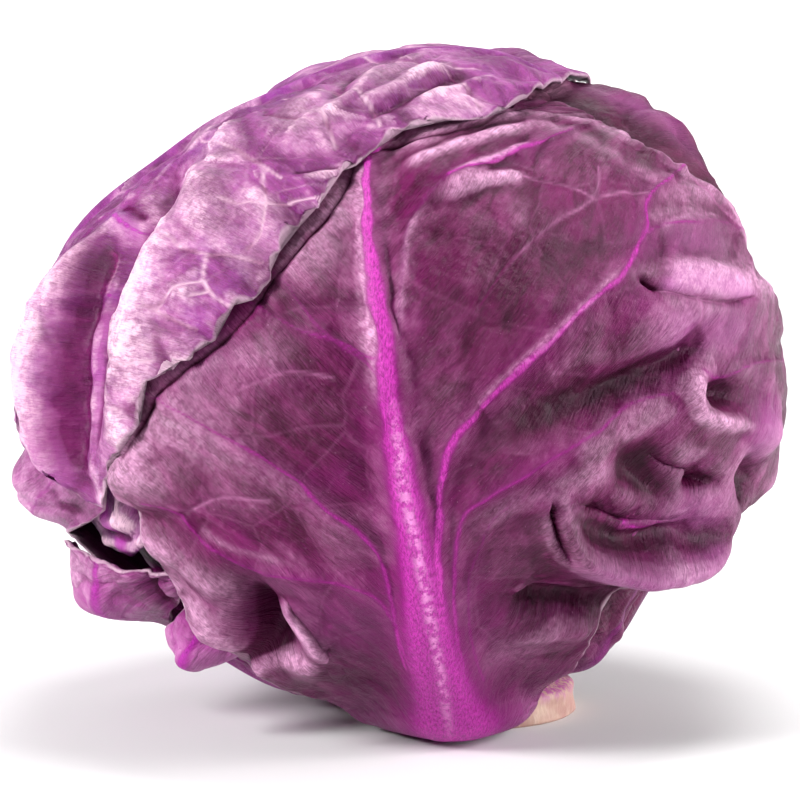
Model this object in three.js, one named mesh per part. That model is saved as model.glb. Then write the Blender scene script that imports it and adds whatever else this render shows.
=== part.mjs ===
// A red cabbage head: a dense heart on a cut stump, wrapped in large ribbed leaves.
// Millimetres, +Z up. The origin is the middle of the stump's flat cut face, on which the head rests.
//
// The head has one common form, a lumpy ellipsoid. Every leaf is a thin closed blade laid on that form at
// its own level, so that leaves which lap over each other follow the same folds and stay clear.

import * as THREE from 'three';
import { mergeVertices } from 'three/addons/utils/BufferGeometryUtils.js';

// ---------------------------------------------------------------- driving dimensions
const HEAD_SEMI_AXES = new THREE.Vector3(86, 80, 75.5);
const HEAD_CENTRE = new THREE.Vector3(-16, 5, 73.2);
const CHART_RADIUS = 78;        // millimetres of a leaf's flat chart for each radian round the head
const BLADE = 1.2;              // thickness of a leaf between its veins
const LEVEL_STEP = 2.4;         // depth from one layer of leaves to the next
const HEART_CLEARANCE = 1.4;    // gap between the heart and whatever lies over it
const HEART_REACH = 9.5;        // degrees round a point of the heart within which it keeps that gap
const VEIN_CATCH = 2.3;         // grid points this near to a vein are moved onto its crest
const FLOOR_CLEARANCE = 0.7;    // the lowest leaf stays this far above the ground
const FLOOR_SOFTNESS = 1.6;     // how gently a low leaf levels out above the ground
const STUMP = { halfWidth: 24, halfDepth: 22.5, height: 8.4, sides: 40 };

// ---------------------------------------------------------------- small helpers
const degrees = THREE.MathUtils.degToRad;
const clamp = THREE.MathUtils.clamp;
const bell = (value) => Math.exp(-value * value);
const ribProfile = (value) => Math.exp(-(Math.abs(value) ** 3));

function smooth(value) {
  const t = clamp(value, 0, 1);
  return t * t * (3 - 2 * t);
}

// Catmull-Rom value at `position` (0 to 1) of a list of numbers that are evenly spaced.
function spline(values, position) {
  const last = values.length - 1;
  const place = clamp(position, 0, 1) * last;
  const index = Math.min(Math.floor(place), last - 1);
  const t = place - index;
  const b = values[index];
  const c = values[index + 1];
  const a = index > 0 ? values[index - 1] : 2 * b - c;
  const d = index + 2 <= last ? values[index + 2] : 2 * c - b;
  return b + 0.5 * t * (c - a + t * (2 * a - 5 * b + 4 * c - d + t * (3 * (b - c) + d - a)));
}

// A flat chart of the head's surface round one direction: `right` and `up` in millimetres along the surface.
class Chart {
  constructor(azimuth, elevation) {
    const a = degrees(azimuth);
    const e = degrees(elevation);
    this.out = new THREE.Vector3(Math.cos(e) * Math.cos(a), Math.cos(e) * Math.sin(a), Math.sin(e));
    this.right = new THREE.Vector3(-Math.sin(a), Math.cos(a), 0);
    this.up = new THREE.Vector3().crossVectors(this.out, this.right);
  }

  direction(right, up) {
    const reach = Math.hypot(right, up);
    if (reach < 1e-9) {
      return this.out.clone();
    }
    const angle = reach / CHART_RADIUS;
    const aside = Math.sin(angle) / reach;
    return this.out.clone().multiplyScalar(Math.cos(angle))
      .addScaledVector(this.right, right * aside)
      .addScaledVector(this.up, up * aside);
  }

  place(direction) {
    const angle = Math.acos(clamp(direction.dot(this.out), -1, 1));
    const right = direction.dot(this.right);
    const up = direction.dot(this.up);
    const scale = CHART_RADIUS * angle / Math.max(Math.hypot(right, up), 1e-9);
    return [right * scale, up * scale];
  }
}

// ---------------------------------------------------------------- relief: folds and bumps on a chart
function nearestOnPath(x, y, path) {
  let best = { distance: Infinity, along: 0 };
  for (let i = 0; i + 1 < path.length; i += 1) {
    const [ax, ay] = path[i];
    const dx = path[i + 1][0] - ax;
    const dy = path[i + 1][1] - ay;
    const t = clamp(((x - ax) * dx + (y - ay) * dy) / (dx * dx + dy * dy), 0, 1);
    const point = [ax + t * dx, ay + t * dy];
    const distance = Math.hypot(x - point[0], y - point[1]);
    if (distance < best.distance) {
      best = { distance, point, along: (i + t) / (path.length - 1) };
    }
  }
  return best;
}

// A fold is a ridge (or, with a height below 0, a valley) along a path. It fades at both ends.
function foldHeight(fold, x, y) {
  const { distance, along } = nearestOnPath(x, y, fold.path);
  const fade = smooth(0.35 + 3 * Math.min(along, 1 - along));
  return fold.height * fade * bell(distance / fold.width);
}

// A bump is a round swelling (or, with a height below 0, a dent).
function bumpHeight(bump, x, y) {
  const turn = degrees(bump.turn ?? 0);
  const dx = x - bump.at[0];
  const dy = y - bump.at[1];
  const along = (dx * Math.cos(turn) + dy * Math.sin(turn)) / bump.size[0];
  const across = (dy * Math.cos(turn) - dx * Math.sin(turn)) / bump.size[1];
  return bump.height * bell(Math.hypot(along, across));
}

function relief({ folds = [], bumps = [] }, x, y) {
  let height = 0;
  for (const fold of folds) {
    height += foldHeight(fold, x, y);
  }
  for (const bump of bumps) {
    height += bumpHeight(bump, x, y);
  }
  return height;
}

// ---------------------------------------------------------------- the head's common form
const FRONT = new Chart(-90, 0);
const CROWN = new Chart(165, 35);

const HEAD_RELIEF = {
  folds: [
    // left side: a deep fold between two upright ridges
    { path: [[-68, 75], [-70, 55], [-75, 35], [-77, 16], [-77, 2], [-77, -13]], width: 8, height: -8 },
    { path: [[-58, 46], [-62, 32], [-65, 19], [-66, 5], [-66, -9]], width: 6, height: 2 },
    { path: [[-83, 55], [-92, 36], [-97, 19], [-97, 3], [-90, -10], [-83, -20]], width: 8, height: 3 },
    // right side: the valley under the shelf, and the pucker below it
    { path: [[73, 22], [67, 19], [57, 14], [44, 11], [29, 8]], width: 5, height: -4.5 },
    { path: [[69, 13], [67, 8], [71, 3], [84, -1]], width: 4, height: 3 },
    // lower right: the rolled lobe, the trough within it and the dark trough under it
    { path: [[33, -14], [35, -20], [39, -25], [46, -29], [56, -33], [71, -35], [80, -32], [87, -25]],
      width: 4.5, height: 6 },
    { path: [[40, -14], [46, -19], [58, -24], [73, -25]], width: 4.5, height: -3.5 },
    { path: [[26, -36], [38, -39], [50, -42], [62, -45]], width: 6, height: -6 },
    // lower left: the pale edge and the thick roll round the pocket
    { path: [[-28, -38], [-23, -45], [-18, -51]], width: 4, height: 3.5 },
    { path: [[-37, -60], [-28, -60], [-18, -58]], width: 5, height: 3.5 },
    // crown: soft folds at the right
    { path: [[20, 126], [35, 115], [50, 104]], width: 5, height: -2.5 },
  ],
  bumps: [
    { at: [-95, 88], size: [40, 44], height: -6.5 },     // flatter shoulder, upper left
    { at: [-44, 114], size: [36, 22], height: -5 },      // flatter top, left of the middle
    { at: [38, 112], size: [20, 14], height: 2 },        // fuller top, right of the middle
    { at: [100, 62], size: [16, 14], height: 2.5 },      // fuller shoulder, upper right
    { at: [93, -66], size: [22, 24], height: -11.5 },    // hollow side above the stump
    { at: [90, -39], size: [12, 8], height: -7.5 },      // where the rolled lobe turns away
    { at: [-30, -100], size: [26, 16], height: 4.5 },    // fuller underside, left of the stump
    { at: [72, 33], size: [26, 8], height: 3.5 },        // shelf on the right
    { at: [118, 2], size: [14, 14], height: -1.2 },      // flatter right edge
    { at: [58, 24], size: [12, 7], height: 2 },          // swelling below the shelf
    { at: [76, 7], size: [6, 5], height: -4 },           // pucker
    { at: [54, -6], size: [9, 7], height: -5 },          // dimple in the lobe
    { at: [70, -13], size: [6, 5], height: -4 },         // pit beside the dimple
    { at: [90, -16], size: [5, 6], height: -4.5 },       // pit at the edge
    { at: [94, -7], size: [7, 6], height: 3.5 },         // small round lobe
    { at: [-31, -46], size: [6, 11], height: -9, turn: 12 },    // pocket, lower left
    { at: [-43, -43], size: [8, 14], height: 3 },        // shoulder of the pocket
  ],
};
// The blade is puffed up between its veins: [right, up, size, height] of each quilt, on the front chart.
const QUILTS = [
  [-16, 56, 8, 1.5], [-20, 38, 7, 1.2], [-34, 12, 9, 1.5], [-14, 3, 7, 1.3], [-32, -15, 10, 1.5],
  [-13, -20, 7, 1.2], [12, 62, 9, 1.5], [8, 34, 6, 1], [16, 36, 8, 1.2], [33, 50, 10, 1.5],
  [36, 26, 9, 1.8], [24, -2, 6, 1], [52, 62, 8, 1.6], [78, 46, 8, 1.4], [-42, 56, 12, 1.8],
  [-60, 26, 8, 1.5], [-62, 46, 8, 1.4], [-44, 36, 8, 1.2], [-24, 84, 12, 1.4], [8, 100, 12, 1.3],
  [-54, 80, 12, 1.2],
].map(([right, up, size, height]) => ({ at: [right, up], size: [size, size], height }));
const UNDERSIDE = { reach: 38, height: -4.5 };      // flatter round the stump, degrees from straight down
const UNDER_CROWN = { reach: 75, height: -4.6 };    // lower under the crown leaf, degrees from its middle

function headRadius(direction) {
  const { x, y, z } = HEAD_SEMI_AXES;
  const ellipsoid = 1 / Math.hypot(direction.x / x, direction.y / y, direction.z / z);
  const fromBelow = THREE.MathUtils.radToDeg(Math.acos(clamp(-direction.z, -1, 1)));
  const fromCrown = THREE.MathUtils.radToDeg(CROWN.out.angleTo(direction));
  const [right, up] = FRONT.place(direction);
  return ellipsoid + relief(HEAD_RELIEF, right, up) + relief({ bumps: QUILTS }, right, up)
    + UNDERSIDE.height * bell(fromBelow / UNDERSIDE.reach)
    + UNDER_CROWN.height * bell(fromCrown / UNDER_CROWN.reach);
}

// A point that is low levels out just above the given height.
function levelOut(point, height) {
  const rise = (point.z - height) / FLOOR_SOFTNESS;
  if (rise < 12) {
    point.z = height + FLOOR_SOFTNESS * Math.log1p(Math.exp(rise));
  }
  return point;
}

// ---------------------------------------------------------------- one leaf
// A leaf is ruled: each row runs from its rib out to its left and right margins, from the base to the tip.
// `u` runs from -1 (left margin) through 0 (rib) to 1 (right margin), `v` from 0 (base) to 1 (tip).
class Leaf {
  constructor(shape) {
    Object.assign(this, shape);
    this.chart = new Chart(...shape.facing);
    this.columns = {};
    for (const [name, pick] of Object.entries({
      leftX: (row) => row.left[0],
      leftY: (row) => row.left[1],
      ribX: (row) => row.rib[0],
      ribY: (row) => row.rib[1],
      rightX: (row) => row.right[0],
      rightY: (row) => row.right[1],
      ribHalf: (row) => row.thick[0],
      ribHeight: (row) => row.thick[1],
    })) {
      this.columns[name] = shape.rows.map(pick);
    }
  }

  at(name, v) {
    return spline(this.columns[name], v);
  }

  spot(u, v) {
    const side = u < 0 ? 'left' : 'right';
    const { ripple = 0, waves, phase } = this.margins[side];
    const share = Math.abs(u) + ripple * Math.abs(u) ** 8 * Math.sin(2 * Math.PI * waves * v + phase);
    const x = this.at('ribX', v) * (1 - share) + this.at(`${side}X`, v) * share;
    const y = this.at('ribY', v) * (1 - share) + this.at(`${side}Y`, v) * share;
    return [x, y];
  }

  // How far the margins stand off the layer below, with their waves.
  marginLift(u, v) {
    const side = u < 0 ? this.margins.left : this.margins.right;
    const edge = Math.abs(u) ** 4;
    const wave = 0.5 + 0.5 * Math.sin(2 * Math.PI * side.waves * v + side.phase);
    const [first, last] = side.free ?? [0, 1];
    const free = smooth((v - first) * 8 + 0.5) * smooth((last - v) * 8 + 0.5);
    const tip = this.margins.tip;
    const tipWave = 0.5 + 0.5 * Math.sin(Math.PI * tip.waves * u + tip.phase);
    const alongSide = edge * (side.lift + side.wave * wave) * free;
    const atTip = v ** 12 * (tip.lift + tip.wave * tipWave);
    return Math.max(alongSide, atTip);
  }

  // Moves a spot of the blade onto the crest of a vein that runs close by.
  onCrest([x, y]) {
    for (const vein of this.veins ?? []) {
      const { distance, point } = nearestOnPath(x, y, vein.path);
      if (distance < VEIN_CATCH) {
        return point;
      }
    }
    return [x, y];
  }

  // The middle of the blade, at a spot of the chart.
  middle(u, v, [x, y] = this.spot(u, v)) {
    const direction = this.chart.direction(x, y);
    const tucked = (this.tuck ?? 0) * (1 - smooth(v / 0.14));
    const radius = headRadius(direction) - this.level * LEVEL_STEP + this.marginLift(u, v)
      + relief(this.relief ?? {}, x, y) - tucked;
    const point = HEAD_CENTRE.clone().addScaledVector(direction, radius);
    return levelOut(point, FLOOR_CLEARANCE + BLADE / 2 + this.ribRise(v, x, y));
  }

  normal(u, v) {
    const step = 0.012;
    const across = this.middle(Math.min(u + step, 1), v).sub(this.middle(Math.max(u - step, -1), v));
    const along = this.middle(u, Math.min(v + step, 1)).sub(this.middle(u, Math.max(v - step, 0)));
    return across.cross(along).normalize();
  }

  // Extra thickness of the rib and the main veins, on the outer face.
  ribRise(v, x, y) {
    const fromRib = Math.hypot(x - this.at('ribX', v), y - this.at('ribY', v));
    let rise = this.at('ribHeight', v) * ribProfile(fromRib / this.at('ribHalf', v));
    for (const vein of this.veins ?? []) {
      const { distance, along } = nearestOnPath(x, y, vein.path);
      const width = vein.width * (1 - 0.5 * along);
      rise = Math.max(rise, vein.height * (1 - 0.6 * along) * bell(distance / width));
    }
    return rise;
  }

  geometry() {
    const { left, right, along, crowding } = this.grid;
    const across = left + right;
    const outer = [];
    const inner = [];
    for (let j = 0; j <= along; j += 1) {
      const v = j / along;
      for (let i = 0; i <= across; i += 1) {
        const even = i < left ? (i - left) / left : (i - left) / right;
        const u = Math.sign(even) * Math.abs(even) ** crowding;
        const inside = i > 0 && i < across && j > 0 && j < along;
        const [x, y] = inside ? this.onCrest(this.spot(u, v)) : this.spot(u, v);
        const middle = this.middle(u, v, [x, y]);
        const normal = this.normal(u, v);
        outer.push(middle.clone().addScaledVector(normal, BLADE / 2 + this.ribRise(v, x, y)));
        inner.push(middle.clone().addScaledVector(normal, -BLADE / 2));
      }
    }
    return shell(outer, inner, across, along);
  }
}

// Closes two like grids of points into one body: outer face, inner face and the strip round the margin.
function shell(outer, inner, across, along) {
  const count = outer.length;
  const index = [];
  const at = (i, j) => j * (across + 1) + i;
  for (let j = 0; j < along; j += 1) {
    for (let i = 0; i < across; i += 1) {
      const [a, b, c, d] = [at(i, j), at(i + 1, j), at(i + 1, j + 1), at(i, j + 1)];
      index.push(a, b, c, a, c, d);
      index.push(count + a, count + c, count + b, count + a, count + d, count + c);
    }
  }
  const edge = [];
  for (let i = 0; i < across; i += 1) {
    edge.push(at(i, 0));
  }
  for (let j = 0; j < along; j += 1) {
    edge.push(at(across, j));
  }
  for (let i = across; i > 0; i -= 1) {
    edge.push(at(i, along));
  }
  for (let j = along; j > 0; j -= 1) {
    edge.push(at(0, j));
  }
  edge.forEach((a, place) => {
    const b = edge[(place + 1) % edge.length];
    index.push(a, count + b, b, a, count + a, count + b);
  });
  const geometry = new THREE.BufferGeometry();
  geometry.setAttribute('position', new THREE.Float32BufferAttribute(
    [...outer, ...inner].flatMap((point) => point.toArray()), 3));
  geometry.setIndex(index);
  geometry.computeVertexNormals();
  return geometry;
}

// ---------------------------------------------------------------- the leaves
const row = (left, rib, right, ribHalf, ribHeight) => ({ left, rib, right, thick: [ribHalf, ribHeight] });
const calm = { lift: 0, wave: 0, waves: 0, phase: 0 };

const LEAVES = [
  {
    name: 'leaf_front',
    colour: 0x7a2f68,
    facing: [-90, 0],
    level: 0,
    grid: { left: 15, right: 18, along: 40, crowding: 1.25 },
    rows: [
      row([-8, -96], [16, -91], [35, -90], 21, 7.5),
      row([-18, -80], [14, -76], [41, -77], 16, 8),
      row([-31, -64], [11, -64], [46, -62], 11, 6.6),
      row([-42, -52], [8, -50], [50, -48], 8, 5),
      row([-52, -38], [6, -37], [61, -42], 6.6, 4.6),
      row([-58, -22], [4, -25], [76, -36], 5.6, 4.2),
      row([-65, -15], [2, -13], [94, -29], 5, 3.9),
      row([-65, -4], [0, -2], [111, -19], 4.5, 3.6),
      row([-60, 6], [-2, 9], [116, -3], 4, 3.3),
      row([-63, 20], [-3, 21], [118, 12], 3.6, 3),
      row([-58, 34], [-5, 33], [109, 28], 3.2, 2.8),
      row([-48, 48], [-7, 45], [100, 42], 2.9, 2.6),
      row([-38, 62], [-8, 57], [94, 62], 2.6, 2.2),
      row([-27, 76], [-7, 70], [82, 76], 2.4, 1.4),
      row([-10, 88], [2, 84], [68, 86], 2.2, 0.7),
      row([12, 97], [28, 94], [58, 92], 2, 0.3),
    ],
    margins: {
      left: { lift: 0.8, wave: 2.4, waves: 10, phase: 0.5, ripple: 0.02, free: [0.06, 0.44] },
      right: { lift: 0.6, wave: 1.4, waves: 9, phase: 2, ripple: 0.015, free: [0.1, 0.84] },
      tip: calm,
    },
    relief: { bumps: [{ at: [16, -88], size: [24, 15], height: 6.5 }] },
    veins: [
      {
        path: [[0, -38], [-6, -32], [-15, -28], [-28, -27], [-39, -22], [-48, -17], [-58, -13]],
        width: 3.2, height: 2,
      },
      {
        path: [[0, -28], [-6, -15], [-15, -9], [-25, -4], [-38, 3], [-48, 7], [-55, 10]],
        width: 3.2, height: 2,
      },
      { path: [[-4, 8], [-12, 20], [-21, 25], [-29, 28], [-38, 33]], width: 2.8, height: 1.6 },
      {
        path: [[-2, 24], [0, 39], [3, 45], [9, 51], [19, 57], [32, 65], [46, 77], [58, 85]],
        width: 3.2, height: 2,
      },
      {
        path: [[7, -26], [8, -5], [11, 3], [21, 13], [32, 22], [45, 32], [52, 39], [58, 47], [77, 66]],
        width: 3.4, height: 2.4,
      },
      { path: [[58, 47], [69, 49], [84, 50], [98, 50]], width: 2.6, height: 1.4 },
      { path: [[11, -30], [13, -14], [19, -5], [29, 1], [41, 6], [55, 9]], width: 3, height: 1.8 },
      { path: [[14, -46], [15, -34], [17, -24], [22, -13]], width: 3, height: 1.6 },
    ],
  },
  {
    name: 'leaf_crown',
    colour: 0x9a6a96,
    facing: [165, 35],
    level: -1.3,
    tuck: 3,
    grid: { left: 8, right: 20, along: 42, crowding: 0.9 },
    rows: [
      row([-54, -149], [-43, -151], [-31, -151], 9, 3.4),
      row([-59, -128], [-37, -131], [-20, -133], 8, 3.8),
      row([-64, -103], [-27, -104], [-12, -107], 6.5, 3.6),
      row([-71, -84], [-20, -86], [-4, -90], 6, 3.4),
      row([-78, -64], [-14, -68], [8, -72], 5.5, 3.2),
      row([-84, -45], [-8, -50], [26, -54], 5, 3),
      row([-88, -27], [-4, -33], [48, -43], 4.6, 2.8),
      row([-90, -17], [-3, -24], [72, -54], 4.4, 2.6),
      row([-90, -8], [-2, -17], [83, -38], 4.2, 2.5),
      row([-88, 12], [0, -1], [87, -17], 3.8, 2.2),
      row([-84, 30], [1, 15], [92, 4], 3.5, 2),
      row([-77, 48], [3, 32], [91, 24], 3.2, 1.8),
      row([-69, 64], [4, 48], [84, 41], 2.9, 1.6),
      row([-60, 80], [5, 64], [73, 57], 2.6, 1.4),
      row([-50, 94], [5, 80], [57, 76], 2.3, 1.1),
      row([-39, 105], [4, 96], [45, 97], 2, 0.8),
      row([-27, 113], [4, 113], [30, 107], 1.8, 0.5),
    ],
    margins: {
      left: { lift: 0.4, wave: 2, waves: 9, phase: 0, ripple: 0.015, free: [0.1, 0.85] },
      right: { lift: 0.3, wave: 2.2, waves: 13, phase: 1, ripple: 0.018, free: [0.2, 0.84] },
      tip: { lift: 0.2, wave: 0.8, waves: 4, phase: 0 },
    },
    veins: [
      { path: [[-10, -58], [10, -40], [34, -30], [56, -36], [70, -44]], width: 2.4, height: 1.4 },
      { path: [[-2, -55], [20, -34], [42, -22], [60, -14], [80, -10]], width: 2.4, height: 1.3 },
      { path: [[-1, -20], [18, 2], [38, 14], [58, 22], [76, 26]], width: 2.2, height: 1.1 },
      { path: [[1, 14], [16, 34], [34, 48], [52, 58]], width: 2, height: 1 },
      { path: [[-22, -92], [-34, -78], [-48, -68], [-68, -60]], width: 2.4, height: 1.4 },
      { path: [[-2, -50], [-22, -30], [-46, -18], [-74, -10]], width: 2.4, height: 1.3 },
      { path: [[-1, -14], [-20, 8], [-42, 24], [-66, 34]], width: 2.2, height: 1.1 },
      { path: [[2, 24], [-14, 46], [-32, 64], [-46, 76]], width: 2, height: 1 },
    ],
  },
  {
    name: 'leaf_back',
    colour: 0x74305f,
    facing: [70, -5],
    level: 0,
    grid: { left: 8, right: 8, along: 16, crowding: 1.2 },
    rows: [
      row([-24, -85], [-9, -86], [5, -90], 10, 5),
      row([-34, -74], [-5, -74], [28, -80], 8.5, 4.6),
      row([-52, -58], [-3, -60], [46, -66], 7, 4.2),
      row([-66, -36], [-2, -42], [60, -48], 6, 3.8),
      row([-72, -12], [-2, -23], [78, -22], 5.4, 3.4),
      row([-72, 12], [-2, -3], [79, 2], 4.8, 3),
      row([-66, 34], [0, 16], [73, 26], 4.2, 2.5),
      row([-56, 54], [2, 36], [62, 48], 3.6, 2),
      row([-40, 70], [2, 55], [44, 64], 3, 1.4),
      row([-22, 79], [1, 76], [24, 74], 2.4, 0.8),
    ],
    margins: {
      left: { lift: 0.8, wave: 2, waves: 7, phase: 0.8, free: [0.12, 0.8] },
      right: calm,
      tip: { lift: 0.2, wave: 0.4, waves: 3, phase: 1 },
    },
    veins: [
      { path: [[0, -62], [-16, -50], [-36, -42], [-60, -36]], width: 2.6, height: 1.6 },
      { path: [[-2, -36], [-18, -18], [-40, -6], [-68, 2]], width: 2.6, height: 1.5 },
      { path: [[-2, -8], [-16, 12], [-36, 26], [-60, 36]], width: 2.4, height: 1.3 },
      { path: [[1, 18], [-10, 38], [-26, 54], [-40, 64]], width: 2, height: 1 },
      { path: [[0, -62], [16, -50], [36, -44], [62, -42]], width: 2.6, height: 1.6 },
      { path: [[-2, -36], [16, -20], [40, -8], [72, -4]], width: 2.6, height: 1.5 },
      { path: [[-2, -8], [14, 12], [36, 26], [64, 34]], width: 2.4, height: 1.3 },
    ],
  },
  {
    name: 'leaf_right',
    colour: 0x5c1f4c,
    facing: [15, 5],
    level: 1,
    grid: { left: 6, right: 8, along: 12, crowding: 1 },
    rows: [
      row([-23, -86], [-13, -84], [-2, -86], 8, 3.6),
      row([-28, -77], [-9, -74], [20, -76], 7, 3),
      row([-34, -60], [-2, -57], [44, -58], 6, 2),
      row([-40, -36], [2, -34], [54, -34], 5, 1.6),
      row([-44, -10], [3, -8], [57, -8], 4.5, 1.4),
      row([-46, 14], [3, 18], [58, 18], 4, 1.2),
      row([-48, 36], [2, 42], [58, 44], 3.5, 1),
      row([-44, 58], [0, 66], [54, 66], 3, 0.8),
      row([-44, 76], [0, 86], [40, 86], 2.5, 0.6),
      row([-30, 92], [0, 98], [18, 98], 2, 0.4),
    ],
    margins: { left: calm, right: calm, tip: { lift: 0.3, wave: 0.6, waves: 3, phase: 1 } },
    relief: { bumps: [{ at: [-7, 57], size: [11, 20], height: 8.5 }] },
  },
  {
    name: 'leaf_left',
    colour: 0x8a3f7c,
    facing: [175, -25],
    level: 1,
    grid: { left: 5, right: 9, along: 14, crowding: 0.9 },
    rows: [
      row([-15, -75], [-6, -75], [3, -74], 7, 2.6),
      row([-40, -58], [-14, -57], [-4, -55], 6.5, 3),
      row([-58, -38], [-16, -38], [-5, -36], 6, 2.6),
      row([-68, -20], [-16, -22], [2, -16], 5, 1.6),
      row([-74, 0], [-14, -5], [16, 1], 4.4, 0.8),
      row([-72, 18], [-12, 12], [46, 7], 4, 0.6),
      row([-62, 36], [-8, 28], [50, 16], 3.5, 0.5),
      row([-44, 48], [-2, 42], [44, 30], 3, 0.3),
    ],
    margins: { left: calm, right: { lift: 1, wave: 1, waves: 4, phase: 0, free: [0.1, 0.66] }, tip: calm },
    relief: { bumps: [{ at: [20, 15], size: [12, 9], height: 11 }] },
  },
  {
    name: 'leaf_left_fold',
    colour: 0x8c4580,
    facing: [-160, -30],
    level: 2.8,
    grid: { left: 7, right: 7, along: 9, crowding: 1 },
    rows: [
      row([-9, 5], [9, 5], [27, 12], 3, 0.2),
      row([-11, 15], [9, 16], [32, 23], 3, 0.3),
      row([-12, 25], [10, 27], [34, 31], 3, 0.3),
      row([-10, 34], [12, 36], [34, 38], 3, 0.2),
    ],
    margins: { left: calm, right: calm, tip: calm },
    relief: {
      folds: [
        { path: [[16, 14], [19, 20], [21, 26]], width: 3, height: 2.6 },
        { path: [[24, 14], [26, 21]], width: 2.6, height: -1.6 },
        { path: [[2, 15], [12, 14], [18, 16]], width: 3, height: 2 },
      ],
    },
  },
  {
    name: 'leaf_left_low',
    colour: 0x8a3076,
    facing: [-160, -30],
    level: 1.9,
    grid: { left: 7, right: 7, along: 12, crowding: 1 },
    rows: [
      row([-5, -67], [3, -67], [11, -66], 4, 1.4),
      row([-14, -42], [-5, -40], [4, -39], 4, 1.4),
      row([-20, -22], [-8, -21], [4, -20], 4, 1.2),
      row([-20, -8], [-2, -9], [15, -10], 3.6, 1),
      row([-15, 4], [6, 3], [32, -1], 3, 0.6),
      row([-9, 10], [8, 8], [34, 3], 2.4, 0.3),
    ],
    margins: { left: calm, right: calm, tip: { lift: 2, wave: 1, waves: 2, phase: 1 } },
    relief: {
      bumps: [{ at: [-3, -1], size: [13, 10], height: 11 }, { at: [17, 0], size: [9, 7], height: 4 }],
      folds: [{ path: [[21, 4], [21, -8]], width: 3, height: -1.5 }],
    },
  },
  {
    name: 'leaf_base_left',
    colour: 0x9a2c80,
    facing: [-140, -50],
    level: 2.8,
    grid: { left: 5, right: 5, along: 10, crowding: 1 },
    rows: [
      row([2, -36], [8, -35], [14, -33], 4, 1.4),
      row([-8, -21], [0, -20], [8, -20], 4, 1.4),
      row([-15, -7], [-3, -6], [8, -6], 4, 1.2),
      row([-15, 7], [-2, 8], [11, 7], 3.4, 0.8),
      row([-7, 16], [5, 17], [18, 17], 2.8, 0.5),
      row([2, 22], [9, 23], [18, 23], 2.4, 0.3),
    ],
    margins: { left: calm, right: calm, tip: calm },
    relief: { bumps: [{ at: [0, 12], size: [11, 8], height: 12 }] },
  },
  {
    name: 'leaf_base_front',
    colour: 0x6d2a5e,
    facing: [-115, -58],
    level: 3.6,
    grid: { left: 5, right: 5, along: 8, crowding: 1 },
    rows: [
      row([6, -20], [12, -18], [20, -16], 4, 1.2),
      row([-3, -12], [5, -10], [14, -8], 4, 1),
      row([-13, -1], [-1, 0], [11, 0], 3.4, 0.6),
      row([-16, 10], [-4, 11], [9, 11], 2.6, 0.3),
      row([-16, 18], [-5, 19], [8, 19], 2.6, 0.2),
    ],
    margins: { left: calm, right: calm, tip: calm },
    relief: { bumps: [{ at: [-3, 6], size: [6, 8], height: 6 }] },
  },
  {
    name: 'leaf_right_low',
    colour: 0x662450,
    facing: [-38, -48],
    level: 2,
    grid: { left: 5, right: 5, along: 10, crowding: 1 },
    rows: [
      row([-10, -17], [3, -17], [14, -17], 4.4, 1.2),
      row([-17, -6], [3, -6], [20, -6], 4.2, 1.1),
      row([-20, 2], [3, 3], [23, 4], 4, 1),
      row([-19, 12], [3, 13], [26, 14], 3, 0.5),
      row([-12, 22], [4, 24], [23, 26], 2.4, 0.3),
    ],
    margins: { left: calm, right: calm, tip: calm },
    relief: {
      bumps: [{ at: [5, 0], size: [9, 10], height: 4 }, { at: [-14, -7], size: [9, 12], height: 2.4 }],
    },
  },
];

// ---------------------------------------------------------------- heart and stump
// How far the heart can reach in one direction below everything that lies over it there.
function roomUnder(direction, cover) {
  const near = Math.cos(degrees(HEART_REACH));
  let room = headRadius(direction);
  let covered = false;
  for (const piece of cover) {
    if (piece.direction.dot(direction) > near) {
      room = covered ? Math.min(room, piece.radius) : piece.radius;
      covered = true;
    }
  }
  return room - HEART_CLEARANCE;
}

// The heart is the tight ball of young leaves. It fills the room under the outer leaves and over the stump.
// The margins of its own leaves show on it as shallow spiral steps.
function heartGeometry(coveringPoints) {
  const cover = coveringPoints.map((point) => {
    const arm = point.clone().sub(HEAD_CENTRE);
    return { radius: arm.length(), direction: arm.normalize() };
  });
  const ball = new THREE.IcosahedronGeometry(1, 7);
  ball.deleteAttribute('normal');
  ball.deleteAttribute('uv');
  const geometry = mergeVertices(ball, 1e-4);
  const positions = geometry.attributes.position;
  for (let i = 0; i < positions.count; i += 1) {
    const direction = new THREE.Vector3().fromBufferAttribute(positions, i).normalize();
    const turn = Math.atan2(direction.y, direction.x) / (2 * Math.PI);
    const climb = Math.asin(clamp(direction.z, -1, 1)) / Math.PI;
    const spiral = 3 * turn + 2 * climb;
    const step = 1.2 * (spiral - Math.floor(spiral));
    const radius = roomUnder(direction, cover) - step * (0.5 - Math.abs(climb));
    const point = HEAD_CENTRE.clone().addScaledVector(direction, radius);
    positions.setXYZ(i, point.x, point.y, point.z);
  }
  geometry.computeVertexNormals();
  return geometry;
}

// The stump is what is left of the stem, cut flat across. The cut face is the foot of the head.
function stumpGeometry() {
  const { height } = STUMP;
  const profile = [[0, 0], [0.97, 0], [1, 0.8], [0.99, 3.4], [0.96, 6.4], [0.7, height], [0, height]]
    .map(([radius, level]) => new THREE.Vector2(radius, level));
  const geometry = new THREE.LatheGeometry(profile, STUMP.sides);
  geometry.rotateX(Math.PI / 2);
  geometry.scale(STUMP.halfWidth, STUMP.halfDepth, 1);
  return geometry;
}

// ---------------------------------------------------------------- the cabbage
function meshOf(name, geometry, colour, roughness) {
  const material = new THREE.MeshStandardMaterial({ color: colour, roughness, metalness: 0 });
  const mesh = new THREE.Mesh(geometry, material);
  mesh.name = name;
  return mesh;
}

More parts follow.
